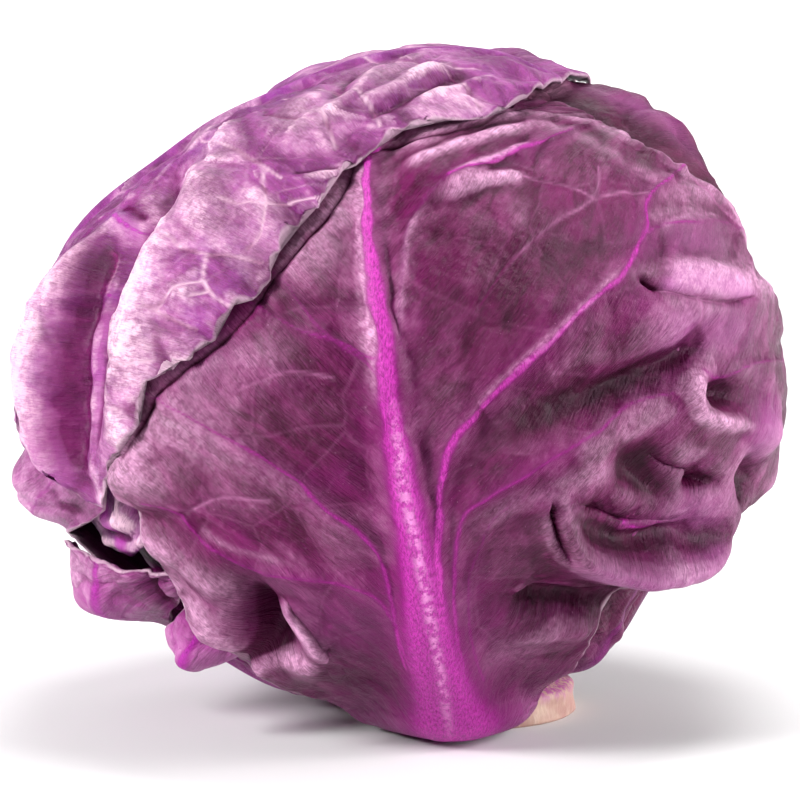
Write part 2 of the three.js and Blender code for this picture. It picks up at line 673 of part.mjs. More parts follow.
function pointsOf(geometry) {
  const positions = geometry.attributes.position;
  const points = [];
  for (let i = 0; i < positions.count; i += 1) {
    points.push(new THREE.Vector3().fromBufferAttribute(positions, i));
  }
  return points;
}

const cabbage = new THREE.Group();
cabbage.name = 'cabbage';
for (const shape of LEAVES) {
  cabbage.add(meshOf(shape.name, new Leaf(shape).geometry(), shape.colour, 0.42));
}
cabbage.add(meshOf('stump', stumpGeometry(), 0xe2b898, 0.75));
const heart = heartGeometry(cabbage.children.flatMap((mesh) => pointsOf(mesh.geometry)));
cabbage.add(meshOf('inner_head', heart, 0x4a1a40, 0.5));

export default cabbage;
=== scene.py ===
import math

import bmesh
import bpy
import numpy as np
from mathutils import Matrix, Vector
from mathutils.bvhtree import BVHTree


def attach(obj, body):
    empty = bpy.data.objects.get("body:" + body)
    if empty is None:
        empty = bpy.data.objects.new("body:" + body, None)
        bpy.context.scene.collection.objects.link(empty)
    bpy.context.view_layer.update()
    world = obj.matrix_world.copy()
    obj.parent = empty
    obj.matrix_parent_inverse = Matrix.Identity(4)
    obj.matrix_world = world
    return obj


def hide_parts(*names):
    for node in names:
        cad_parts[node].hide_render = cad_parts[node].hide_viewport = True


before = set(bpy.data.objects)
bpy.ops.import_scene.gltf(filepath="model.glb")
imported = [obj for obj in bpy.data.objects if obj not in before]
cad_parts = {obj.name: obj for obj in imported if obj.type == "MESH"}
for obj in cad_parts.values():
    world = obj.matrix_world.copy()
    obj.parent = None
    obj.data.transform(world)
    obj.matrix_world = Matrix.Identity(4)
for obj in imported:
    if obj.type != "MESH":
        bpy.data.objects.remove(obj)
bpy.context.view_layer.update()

MM = 0.001

# ---------------------------------------------------------------- the head's form, as in the frame
HEAD_SEMI_AXES = np.array([86.0, 80.0, 75.5])
HEAD_CENTRE = np.array([-16.0, 5.0, 73.2])
CHART_RADIUS = 78.0
BLADE = 1.2  # a leaf's thickness between its ribs
LEVEL_STEP = 2.4  # from one layer of leaves to the next
FLOOR_CLEARANCE = 0.7  # the leaves hang this far over the surface that the stump stands on
FLOOR_SOFTNESS = 1.6
STUMP_HALF_WIDTH = 24.0
STUMP_HALF_DEPTH = 22.5
STUMP_HEIGHT = 8.4
UNDERSIDE_DROP, UNDERSIDE_REACH = 4.5, 38  # how far the form draws in round the stump, over how many degrees
CROWN_DROP, CROWN_REACH = 4.6, 75  # and under the crown leaf

# ---------------------------------------------------------------- the leaves' common surface
NOISE_BALL = 80  # radius of the ball on which the leaves share one pattern of small dents
LUMPS = ((0.8, (15, 9, 1)), (0.42, (8, 4.4, 1)), (0.16, (4.6, 1.7, 1)))  # height, size along and across
SHARED_DENTS = ((0.6, 17, 5), (0.25, 6.5, 6))  # height, size, seed
OWN_DENTS = (0.09, 2.4)
BEND, BEND_SIZE = 2.2, 14  # how far, and over what length, the patchwork of small veins wanders
SMALL_CELL = 0.42  # the small cells' size, as a share of the wide ones
VEIN_TAPER = 0.55  # the share of a vein's width and height that is gone at its end
VEIN_TINT, VEIN_HALO = 0.34, 1.7  # widths of a vein's colour and glow, as shares of the vein's own
FINE_LINE, FINE_GROOVE, GROOVE_DEPTH = 0.46, 0.9, 0.4  # the fine veins' widths and depth
NET_LINE, SMALL_NET_LINE = 0.35, 0.28  # width of the borders between cells
RIM_WIDTH, RIM_ROUNDING = 0.3, 0.35  # the leaf's pale margin
RAGGED_SIZES, RAGGED_WIDTH = (6.5, 2.3), 4  # sizes of its tears, and how far in they show
CURL_SIZE = 7
TUCK_LENGTH = 0.14  # the share of a leaf's length over which its base is tucked in
NARROW_HOLLOW, WIDE_HOLLOW = 3.0, 8.0  # how far round, for a height to count as a hollow or a swelling


# ---------------------------------------------------------------- small helpers
def smooth(value):
    t = np.clip(value, 0, 1)
    return t * t * (3 - 2 * t)


def bell(value):
    return np.exp(-value * value)


def spline(values, position):
    """Catmull-Rom value at positions from 0 to 1 of numbers that are evenly spaced."""
    values = np.asarray(values, float)
    last = len(values) - 1
    place = np.clip(position, 0, 1) * last
    index = np.minimum(np.floor(place).astype(int), last - 1)
    t = place - index
    before = np.concatenate([[2 * values[0] - values[1]], values, [2 * values[-1] - values[-2]]])
    a, b, c, d = (before[index + k] for k in range(4))
    return b + 0.5 * t * (c - a + t * (2 * a - 5 * b + 4 * c - d + t * (3 * (b - c) + d - a)))


CURVE_STEPS = 5


def curve(path):
    """The path as a smooth line of short segments."""
    path = np.asarray(path, float)
    if len(path) < 3:
        return path
    place = np.linspace(0, 1, (len(path) - 1) * CURVE_STEPS + 1)
    return np.stack([spline(path[:, k], place) for k in range(2)], axis=1)


SEED_OFFSET = 7.31
NOISE_GAIN = 1.7
RNG = np.random.default_rng(41)
SHUFFLE = RNG.permutation(256)
SLOPES = RNG.normal(size=(256, 3))
SLOPES /= np.linalg.norm(SLOPES, axis=1)[:, None]
SPOTS = RNG.random((256, 2))


def noise(points, size, seed=0):
    """Smooth noise from about -1 to 1, for points in millimetres and features of the given size."""
    place = points / size + seed * SEED_OFFSET
    cell = np.floor(place).astype(int)
    part = place - cell
    fade = part ** 3 * (part * (part * 6 - 15) + 10)
    total = np.zeros(len(points))
    for dx in (0, 1):
        for dy in (0, 1):
            for dz in (0, 1):
                turn = SHUFFLE[(cell[:, 0] + dx) & 255]
                turn = SHUFFLE[(turn + cell[:, 1] + dy) & 255]
                turn = SHUFFLE[(turn + cell[:, 2] + dz) & 255]
                corner = np.array([dx, dy, dz])
                share = np.prod(np.where(corner == 1, fade, 1 - fade), axis=1)
                total += share * np.sum(SLOPES[turn] * (part - corner), axis=1)
    return total * NOISE_GAIN


def layered_noise(points, layers):
    """The sum of several noises: height, size and seed of each."""
    return sum(height * noise(points, size, seed) for height, size, seed in layers)


def cells(x, y, size, seed=0):
    """A patchwork of uneven cells: distance to the nearest border, and each cell's own tone from 0 to 1."""
    place = np.stack([x, y]) / size
    cell = np.floor(place).astype(int)
    first = second = np.full(x.shape, 9e9)
    near = next_near = np.zeros(place.shape)
    tone = np.zeros(x.shape)
    for dx in (-1, 0, 1):
        for dy in (-1, 0, 1):
            key = SHUFFLE[(SHUFFLE[(cell[0] + dx + seed * 13) & 255] + cell[1] + dy) & 255]
            spot = cell + [[dx], [dy]] + SPOTS[key].T
            reach = (place[0] - spot[0]) ** 2 + (place[1] - spot[1]) ** 2
            closer, runner_up = reach < first, reach < second
            second = np.where(closer, first, np.where(runner_up, reach, second))
            next_near = np.where(closer, near, np.where(runner_up, spot, next_near))
            near = np.where(closer, spot, near)
            tone = np.where(closer, SPOTS[(key + 97) & 255, 0], tone)
            first = np.where(closer, reach, first)
    apart = np.hypot(*(near - next_near))
    return (second - first) / (2 * np.maximum(apart, 1e-6)) * size, tone


class Chart:
    """A flat chart of the head's surface round one direction, in millimetres along the surface."""

    def __init__(self, azimuth, elevation):
        a, e = math.radians(azimuth), math.radians(elevation)
        self.out = np.array([math.cos(e) * math.cos(a), math.cos(e) * math.sin(a), math.sin(e)])
        self.right = np.array([-math.sin(a), math.cos(a), 0.0])
        self.up = np.cross(self.out, self.right)

    def direction(self, right, up):
        reach = np.maximum(np.hypot(right, up), 1e-9)
        angle = reach / CHART_RADIUS
        aside = np.sin(angle) / reach
        return (np.cos(angle)[:, None] * self.out + (right * aside)[:, None] * self.right
                + (up * aside)[:, None] * self.up)

    def place(self, direction):
        angle = np.arccos(np.clip(direction @ self.out, -1, 1))
        right, up = direction @ self.right, direction @ self.up
        scale = CHART_RADIUS * angle / np.maximum(np.hypot(right, up), 1e-9)
        return right * scale, up * scale


FRONT = Chart(-90, 0)
CROWN = Chart(165, 35)


# ---------------------------------------------------------------- relief
class Near:
    """For points near a path: their rows, distance, share along the path, side (left is 1) and its normal."""

    def __init__(self, x, y, path, reach):
        path = curve(path)
        low, high = path.min(axis=0) - reach, path.max(axis=0) + reach
        self.rows = np.flatnonzero((x > low[0]) & (x < high[0]) & (y > low[1]) & (y < high[1]))
        px, py = x[self.rows], y[self.rows]
        best = np.full(len(self.rows), np.inf)
        self.along = np.zeros(len(self.rows))
        self.side = np.zeros(len(self.rows))
        self.normal = np.zeros((len(self.rows), 2))
        for i in range(len(path) - 1):
            ax, ay = path[i]
            dx, dy = path[i + 1] - path[i]
            length2 = max(dx * dx + dy * dy, 1e-12)
            t = np.clip(((px - ax) * dx + (py - ay) * dy) / length2, 0, 1)
            ox, oy = px - ax - t * dx, py - ay - t * dy
            distance = np.hypot(ox, oy)
            closer = distance < best
            best = np.where(closer, distance, best)
            self.along = np.where(closer, (i + t) / (len(path) - 1), self.along)
            self.side = np.where(closer, np.sign(dx * oy - dy * ox), self.side)
            length = math.sqrt(length2)
            self.normal[closer] = (-dy / length, dx / length)
        self.distance = best


def keep_greatest(values, rows, candidates):
    values[rows] = np.maximum(values[rows], candidates)


def fold_heights(x, y, folds):
    """Ridges, or valleys where the height is below 0: path, width and height, fading at both ends."""
    total = np.zeros(x.shape)
    for path, width, height in folds:
        near = Near(x, y, path, width * 3)
        fade = smooth(0.35 + 3 * np.minimum(near.along, 1 - near.along))
        total[near.rows] += height * fade * bell(near.distance / width)
    return total


def bump_heights(x, y, bumps):
    """Round swellings, or dents where the height is below 0: centre, size, height and turn in degrees."""
    total = np.zeros(x.shape)
    for at, size, height, *turned in bumps:
        turn = math.radians(turned[0] if turned else 0)
        dx, dy = x - at[0], y - at[1]
        along = (dx * math.cos(turn) + dy * math.sin(turn)) / size[0]
        across = (dy * math.cos(turn) - dx * math.sin(turn)) / size[1]
        total += height * bell(np.hypot(along, across))
    return total


def flap_profile(x, y, path, reach, drop):
    """A folded flap: full at the path, fading over its reach on the left and sharply on the right."""
    near = Near(x, y, path, reach * 3)
    fade = smooth(4 * np.minimum(near.along, 1 - near.along))
    signed = near.distance * near.side
    return near, fade, np.where(signed > 0, bell(signed / reach), bell(signed / drop))


def flap_heights(x, y, flaps):
    """Heights of flaps: path, reach, height and overhang."""
    total = np.zeros(x.shape)
    for path, reach, height, _ in flaps:
        near, fade, profile = flap_profile(x, y, path, reach, 0.9)
        total[near.rows] += height * fade * profile
    return total


def flap_shift(x, y, flaps):
    """How far the flaps' edges hang over, as a shift along the surface."""
    shift = np.zeros((len(x), 2))
    for path, reach, _, overhang in flaps:
        near, fade, profile = flap_profile(x, y, path, reach, 1.2)
        shift[near.rows] -= (overhang * fade * profile)[:, None] * near.normal
    return shift


HEAD_FOLDS = [
    ([(-68, 75), (-70, 55), (-75, 35), (-77, 16), (-77, 2), (-77, -13)], 8, -8),
    ([(-58, 46), (-62, 32), (-65, 19), (-66, 5), (-66, -9)], 6, 2),
    ([(-83, 55), (-92, 36), (-97, 19), (-97, 3), (-90, -10), (-83, -20)], 8, 3),
    ([(73, 22), (67, 19), (57, 14), (44, 11), (29, 8)], 5, -4.5),
    ([(69, 13), (67, 8), (71, 3), (84, -1)], 4, 3),
    ([(33, -14), (35, -20), (39, -25), (46, -29), (56, -33), (71, -35), (80, -32), (87, -25)], 4.5, 6),
    ([(40, -14), (46, -19), (58, -24), (73, -25)], 4.5, -3.5),
    ([(26, -36), (38, -39), (50, -42), (62, -45)], 6, -6),
    ([(-28, -38), (-23, -45), (-18, -51)], 4, 3.5),
    ([(-37, -60), (-28, -60), (-18, -58)], 5, 3.5),
    ([(20, 126), (35, 115), (50, 104)], 5, -2.5),
]
HEAD_BUMPS = [
    ((-95, 88), (40, 44), -6.5), ((-44, 114), (36, 22), -5), ((38, 112), (20, 14), 2),
    ((100, 62), (16, 14), 2.5), ((93, -66), (22, 24), -11.5), ((90, -39), (12, 8), -7.5),
    ((-30, -100), (26, 16), 4.5), ((72, 33), (26, 8), 3.5), ((118, 2), (14, 14), -1.2),
    ((58, 24), (12, 7), 2), ((76, 7), (6, 5), -4), ((54, -6), (9, 7), -5), ((70, -13), (6, 5), -4),
    ((90, -16), (5, 6), -4.5), ((94, -7), (7, 6), 3.5), ((-31, -46), (6, 11), -9, 12),
    ((-43, -43), (8, 14), 3),
]
QUILTS = [
    (-16, 56, 8, 1.5), (-20, 38, 7, 1.2), (-34, 12, 9, 1.5), (-14, 3, 7, 1.3), (-32, -15, 10, 1.5),
    (-13, -20, 7, 1.2), (12, 62, 9, 1.5), (8, 34, 6, 1), (16, 36, 8, 1.2), (33, 50, 10, 1.5),
    (36, 26, 9, 1.8), (24, -2, 6, 1), (52, 62, 8, 1.6), (78, 46, 8, 1.4), (-42, 56, 12, 1.8),
    (-60, 26, 8, 1.5), (-62, 46, 8, 1.4), (-44, 36, 8, 1.2), (-24, 84, 12, 1.4), (8, 100, 12, 1.3),
    (-54, 80, 12, 1.2),
]
HEAD_BUMPS += [((right, up), (size, size), height) for right, up, size, height in QUILTS]


def head_radius(direction):
    """The common form: how far the outermost layer is from the head's centre, in each direction."""
    ellipsoid = 1 / np.linalg.norm(direction / HEAD_SEMI_AXES, axis=1)
    from_below = np.degrees(np.arccos(np.clip(-direction[:, 2], -1, 1)))
    from_crown = np.degrees(np.arccos(np.clip(direction @ CROWN.out, -1, 1)))
    x, y = FRONT.place(direction)
    return (ellipsoid + fold_heights(x, y, HEAD_FOLDS) + bump_heights(x, y, HEAD_BUMPS)
            - UNDERSIDE_DROP * bell(from_below / UNDERSIDE_REACH)
            - CROWN_DROP * bell(from_crown / CROWN_REACH))


def level_out(z, height):
    """A low height levels out just above the given one."""
    rise = np.minimum((z - height) / FLOOR_SOFTNESS, 30)
    return np.where(rise < 12, height + FLOOR_SOFTNESS * np.log1p(np.exp(rise)), z)


def painted_mask(x, y, marks):
    """From 0 to 1: soft spots (centre, size, strength, turn) and strokes (path, width, strength)."""
    spots = [mark for mark in marks if not isinstance(mark[0], list)]
    total = bump_heights(x, y, spots)
    for path, width, strength in (mark for mark in marks if isinstance(mark[0], list)):
        near = Near(x, y, path, width * 3)
        fade = smooth(5 * np.minimum(near.along, 1 - near.along) + 0.2)
        keep_greatest(total, near.rows, strength * fade * bell(near.distance / width))
    return np.clip(total, 0, 1)


def blurred(grid, steps):
    """The grid of heights with each value spread over its neighbours."""
    width = 2 * steps + 1
    for axis, count in enumerate(grid.shape):
        ends = [(steps + 1, steps) if a == axis else (0, 0) for a in (0, 1)]
        sums = np.cumsum(np.pad(grid, ends, "edge"), axis)
        grid = (np.take(sums, range(width, width + count), axis) - np.take(sums, range(count), axis)) / width
    return grid


# ---------------------------------------------------------------- one leaf
class Leaf:
    """One leaf on its own chart, which faces the given azimuth and elevation.

    u runs from -1 (left margin) through 0 (rib) to 1 (right margin), v from 0 (base) to 1 (tip).
    rows, from base to tip: left margin, rib and right margin as (right, up), the rib's half width and height.
    left, right, tip: how those margins lift off the form, and wave.
    own_folds, own_bumps: those of the leaf in the frame, and a few fine ones; folds, bumps, flaps: fine ones.
    veins: path, width, height and strength of colour; fine_veins: paths.
    painted: strokes and spots of four masks: the pale wax bloom with painted highlights, pink, painted shade,
    and the white streak on the rib, partly painted highlight, with painted highlights along two veins.
    """

    folds = bumps = flaps = veins = fine_veins = own_folds = own_bumps = ()
    tuck = 0
    puffs = (10, 0.4)  # size and height
    ragged = (0.7, 0.35)  # wide and fine unevenness of the margin
    curl = 0.6
    lumpy = 1
    lean = 0.9
    rib_colour = (5, 4, 3, 2, 1.4, 1)  # half widths of the coloured rib, from base to tip
    rib_strength = 0.6
    left = right = tip = {}

    def __init__(self, node, **shape):
        self.node = node
        self.__dict__.update(shape)
        self.chart = Chart(*self.facing)
        rows = np.array([[*left, *rib, *right, *thick] for left, rib, right, thick in self.rows], float)
        self.columns = rows.T

    def spot(self, u, v):
        """Places on the chart. The rib's half width and height and the distances to rib and edge are kept."""
        left_x, left_y, rib_x, rib_y, right_x, right_y, self.half, self.height = (
            spline(column, v) for column in self.columns)
        share = np.abs(u)
        ripple = np.zeros(u.shape)
        for on_side, side in ((u < 0, self.left), (u >= 0, self.right)):
            wave = np.sin(2 * np.pi * side.get("waves", 0) * v + side.get("phase", 0))
            ripple = np.where(on_side, side.get("ripple", 0) * wave, ripple)
        share = share + ripple * share ** 8
        edge_x = np.where(u < 0, left_x, right_x)
        edge_y = np.where(u < 0, left_y, right_y)
        x = rib_x * (1 - share) + edge_x * share
        y = rib_y * (1 - share) + edge_y * share
        self.from_rib = np.hypot(x - rib_x, y - rib_y)
        from_side = (1 - np.abs(u)) * np.hypot(edge_x - rib_x, edge_y - rib_y)
        self.to_edge = np.stack([edge_x - rib_x, edge_y - rib_y], axis=1)
        self.to_edge /= np.maximum(np.linalg.norm(self.to_edge, axis=1), 1e-6)[:, None]
        self.edge = np.minimum(from_side, (1 - v) * self.length)
        return x, y

    def margin_lift(self, u, v):
        """How far the waved margins stand off the form."""
        lift = np.zeros(u.shape)
        for on_side, side in ((u < 0, self.left), (u >= 0, self.right)):
            if "lift" not in side:
                continue
            wave = 0.5 + 0.5 * np.sin(2 * np.pi * side["waves"] * v + side["phase"])
            first, last = side.get("free", (0, 1))
            free = smooth((v - first) * 8 + 0.5) * smooth((last - v) * 8 + 0.5)
            lift = np.where(on_side, np.abs(u) ** 4 * (side["lift"] + side["wave"] * wave) * free, lift)
        tip = self.tip
        if "lift" in tip:
            wave = 0.5 + 0.5 * np.sin(np.pi * tip["waves"] * u + tip["phase"])
            lift = np.maximum(lift, v ** 12 * (tip["lift"] + tip["wave"] * wave))
        return lift

    def ragged_margin(self, x, y, v, flat):
        first, second = self.ragged
        ragged = (first * (0.9 - 3 * np.abs(noise(flat, RAGGED_SIZES[0], self.seed)))
                  + second * noise(flat, RAGGED_SIZES[1], self.seed + 1))
        near_edge = smooth(1 - self.edge / RAGGED_WIDTH) * smooth(v * 6)
        shift = self.to_edge * ragged[:, None] * near_edge[:, None]
        return x + shift[:, 0], y + shift[:, 1]

    def vein_relief(self, x, y, v):
        """The veins' height, the fine veins' grooves, and masks of the colour of both."""
        rise = self.height * np.exp(-(self.from_rib / self.half) ** 3)
        rib_edge = spline(self.rib_colour, v)
        self.off_rib = smooth(self.from_rib / np.maximum(rib_edge * 1.5, 2) - 0.3)  # 0 on it, 1 beside it
        tint = np.exp(-np.abs(self.from_rib / rib_edge) ** 2.6) * self.rib_strength
        halo = bell(self.from_rib / (rib_edge * 2.6)) * self.rib_strength
        for path, width, height, strength in self.veins:
            near = Near(x, y, path, width * 4)
            slim = width * (1 - VEIN_TAPER * near.along)
            ridge = height * (1 - VEIN_TAPER * near.along) * bell(near.distance / slim)
            share = strength * (1 - 0.3 * near.along)
            keep_greatest(rise, near.rows, ridge)
            keep_greatest(tint, near.rows, share * bell(near.distance / (slim * VEIN_TINT)))
            keep_greatest(halo, near.rows, 0.8 * share * bell(near.distance / (slim * VEIN_HALO)))
        line, groove = np.zeros((2, *x.shape))
        for path in self.fine_veins:
            near = Near(x, y, path, 6)
            keep_greatest(line, near.rows, bell(near.distance / FINE_LINE))
            keep_greatest(groove, near.rows, bell(near.distance / FINE_GROOVE))
        masks = {"vein": tint, "halo": halo, "line": line}
        return rise, groove, {name: np.clip(mask, 0, 1) for name, mask in masks.items()}

    def skin_relief(self, u, v, flat):
        """Puffs between small veins, lumps drawn out along the side veins, and the masks and flow of both."""
        seed, aside, upward = self.seed, self.from_rib, v * self.length
        flow = np.stack([upward * 0.75 + aside, upward - self.lean * aside, np.sign(u) * 40], axis=1)
        lumps = sum(height * noise(flow / size, 1, seed + 2 + k) for k, (height, size) in enumerate(LUMPS))
        flow[:, 2] = 0.02 * np.sign(u) * aside  # for the skin, one pattern that runs on across the rib
        bent_x = flat[:, 0] + BEND * noise(flat, BEND_SIZE, seed + 2)
        bent_y = flat[:, 1] + BEND * noise(flat, BEND_SIZE, seed + 3)
        size, puff_height = self.puffs
        wide, tone = cells(bent_x, bent_y, size, seed)
        small, _ = cells(bent_x + 9, bent_y + 5, size * SMALL_CELL, seed + 4)
        puffs = puff_height * (smooth(wide / (size * 0.3)) - 0.5)
        network = np.maximum(bell(wide / NET_LINE), 0.4 * bell(small / SMALL_NET_LINE)) * self.off_rib
        masks = {"net": np.clip(network, 0, 1), "facet": 0.5 + (tone - 0.5) * smooth(wide / 1.2)}
        return puffs, lumps, flow, masks

    def build(self):
        """The leaf as a closed piece of the scene."""
        nu, nv = self.grid
        net = (nv + 1, nu + 1)
        u, v = np.meshgrid(np.linspace(-1, 1, net[1]), np.linspace(0, 1, net[0]))
        u, v = u.ravel(), v.ravel()
        x, y = self.spot(u, v)
        flat = np.stack([x, y, np.zeros(x.shape)], axis=1)
        x, y = self.ragged_margin(x, y, v, flat)
        rise, groove, masks = self.vein_relief(x, y, v)
        puffs, lumps, flow, skin_masks = self.skin_relief(u, v, flat)

        # heights over the common form
        direction = self.chart.direction(x, y)
        fine = (fold_heights(x, y, self.folds) + bump_heights(x, y, self.bumps)
                + flap_heights(x, y, self.flaps))
        own = fold_heights(x, y, self.own_folds) + bump_heights(x, y, self.own_bumps)
        dents = SHARED_DENTS + ((*OWN_DENTS, self.seed + 7),)
        rough = layered_noise(direction * NOISE_BALL, dents) * self.roughness
        curl = self.curl * noise(flat, CURL_SIZE, self.seed + 8) * smooth(1 - self.edge / 5) * smooth(v * 5)
        radius = (head_radius(direction) - self.level * LEVEL_STEP + self.margin_lift(u, v) + own + fine
                  + (puffs - GROOVE_DEPTH * groove + lumps * self.lumpy) * self.off_rib
                  + rough * self.off_rib + curl - self.tuck * (1 - smooth(v / TUCK_LENGTH)))
        if self.flaps:
            shift = flap_shift(x, y, self.flaps)
            direction = self.chart.direction(x + shift[:, 0], y + shift[:, 1])
        middle = HEAD_CENTRE + direction * radius[:, None]
        middle[:, 2] = level_out(middle[:, 2], FLOOR_CLEARANCE + BLADE / 2 + rise)

        # the two faces, the inner one lower where the outer one dips between the inner one's points
        grid = middle.reshape(*net, 3)
        normal = np.cross(np.gradient(grid, axis=1), np.gradient(grid, axis=0)).reshape(-1, 3)
        normal /= np.maximum(np.linalg.norm(normal, axis=1), 1e-12)[:, None]
        free = smooth(v * 20)
        rounded = RIM_ROUNDING * (1 - smooth(self.edge / 0.9)) * free
        outer = middle + normal * (BLADE / 2 - rounded + rise)[:, None]
        heights = radius.reshape(net)
        sunk = chord_dip(heights, self.coarse).ravel() * smooth((self.edge - 1) / 3)
        inner = middle - normal * (BLADE / 2 - rounded + sunk)[:, None]

        # masks and places for the material, at the points of both faces
        pitch = self.length / nv
        hollow = heights - blurred(heights, max(1, int(NARROW_HOLLOW / pitch)))
        wide_hollow = heights - blurred(heights, max(1, int(WIDE_HOLLOW / pitch)))
        convex = np.clip(hollow.ravel() * 0.8 + wide_hollow.ravel() * 0.3, -1, 1)
        masks.update(skin_masks, convex=convex * 0.5 + 0.5, rim=bell(self.edge / RIM_WIDTH) * free)
        for name in ("bloom_and_highlight", "shade", "pink", "streak_and_highlight"):
            masks[name] = painted_mask(x, y, self.painted.get(name, ()))
        places = {"chart": flat, "flow": flow}
        kept = np.arange(len(outer)).reshape(net)[::self.coarse, ::self.coarse].ravel()
        for values in (masks, places):
            for name, value in values.items():
                values[name] = np.concatenate([value, value[kept]])
        return finished(closed_blade("fine_" + self.node, outer, inner, nu, nv, self.coarse), masks, places)


def chord_dip(heights, step):
    """How far the fine surface dips under a coarse net over its every step-th point, the most nearby."""
    coarse = heights[::step, ::step]
    rows, columns = (np.arange(n) / step for n in heights.shape)
    i = np.minimum(rows.astype(int), coarse.shape[0] - 2)
    j = np.minimum(columns.astype(int), coarse.shape[1] - 2)
    down, across = (rows - i)[:, None], (columns - j)[None, :]
    near = coarse[i] * (1 - down) + coarse[i + 1] * down
    net = near[:, j] * (1 - across) + near[:, j + 1] * across
    dip = np.clip(net - heights, 0, None)
    for axis, count in enumerate(heights.shape):
        padded = np.pad(dip, [(step, step) if a == axis else (0, 0) for a in (0, 1)])
        dip = np.max([np.take(padded, range(k, k + count), axis) for k in range(2 * step + 1)], axis=0)
    return dip


def closed_blade(name, outer, inner, nu, nv, step):
    """One closed mesh of a fine outer face, an inner face with every step-th point, and a strip between."""
    index = np.arange((nu + 1) * (nv + 1)).reshape(nv + 1, nu + 1)
    kept = index[::step, ::step]
    vertices = np.concatenate([outer, inner[kept.ravel()]])
    below = np.arange(kept.size).reshape(kept.shape) + len(outer)
    front = [index[:-1, :-1], index[:-1, 1:], index[1:, 1:], index[1:, :-1]]
    back = [below[:-1, :-1], below[1:, :-1], below[1:, 1:], below[:-1, 1:]]
    faces = [quad for corners in (front, back) for quad in np.stack(corners, axis=-1).reshape(-1, 4).tolist()]

    def loop(grid):
        return np.concatenate([grid[0, :-1], grid[:-1, -1], grid[-1, :0:-1], grid[:0:-1, 0]])

    fine, coarse = loop(index), loop(below)
    for k in range(len(coarse)):
        a, b = int(coarse[k]), int(coarse[(k + 1) % len(coarse)])
        middle = k * step + step // 2
        for i in range(k * step, (k + 1) * step):
            p, q = int(fine[i]), int(fine[(i + 1) % len(fine)])
            faces.append((q, p, a if i < middle else b))
        faces.append((int(fine[middle % len(fine)]), a, b))
    mesh = bpy.data.meshes.new(name)
    mesh.from_pydata((vertices * MM).tolist(), [], faces)
    mesh.update()
    return mesh


def finished(mesh, masks, places):
    """The mesh as a smooth piece of the scene, with its masks and places kept at its points."""
    for key, values in masks.items():
        layer = mesh.attributes.new(key, "FLOAT", "POINT")
        layer.data.foreach_set("value", values.astype(np.float32))
    for key, values in places.items():
        layer = mesh.attributes.new(key, "FLOAT_VECTOR", "POINT")
        layer.data.foreach_set("vector", values.astype(np.float32).ravel())
    mesh.polygons.foreach_set("use_smooth", np.ones(len(mesh.polygons), dtype=bool))
    piece = bpy.data.objects.new(mesh.name, mesh)
    bpy.context.scene.collection.objects.link(piece)
    return piece


# ---------------------------------------------------------------- the leaves
# where the crown leaf's margin lies on the front leaf
CROWN_MARGIN = [
    (50, 97), (45, 92), (34, 87), (22, 80), (9, 75), (0, 72), (-5, 71), (-8, 68), (-11, 65), (-13, 58),
    (-16, 52), (-21, 46), (-25, 40), (-29, 35.5), (-33, 29), (-41, 20), (-47, 15.5), (-55, 9), (-57, 4),
    (-61, -3), (-64, -9),
]
LEAVES = []


def add_leaf(node, **shape):
    LEAVES.append(Leaf(node, seed=len(LEAVES) + 1, **shape))


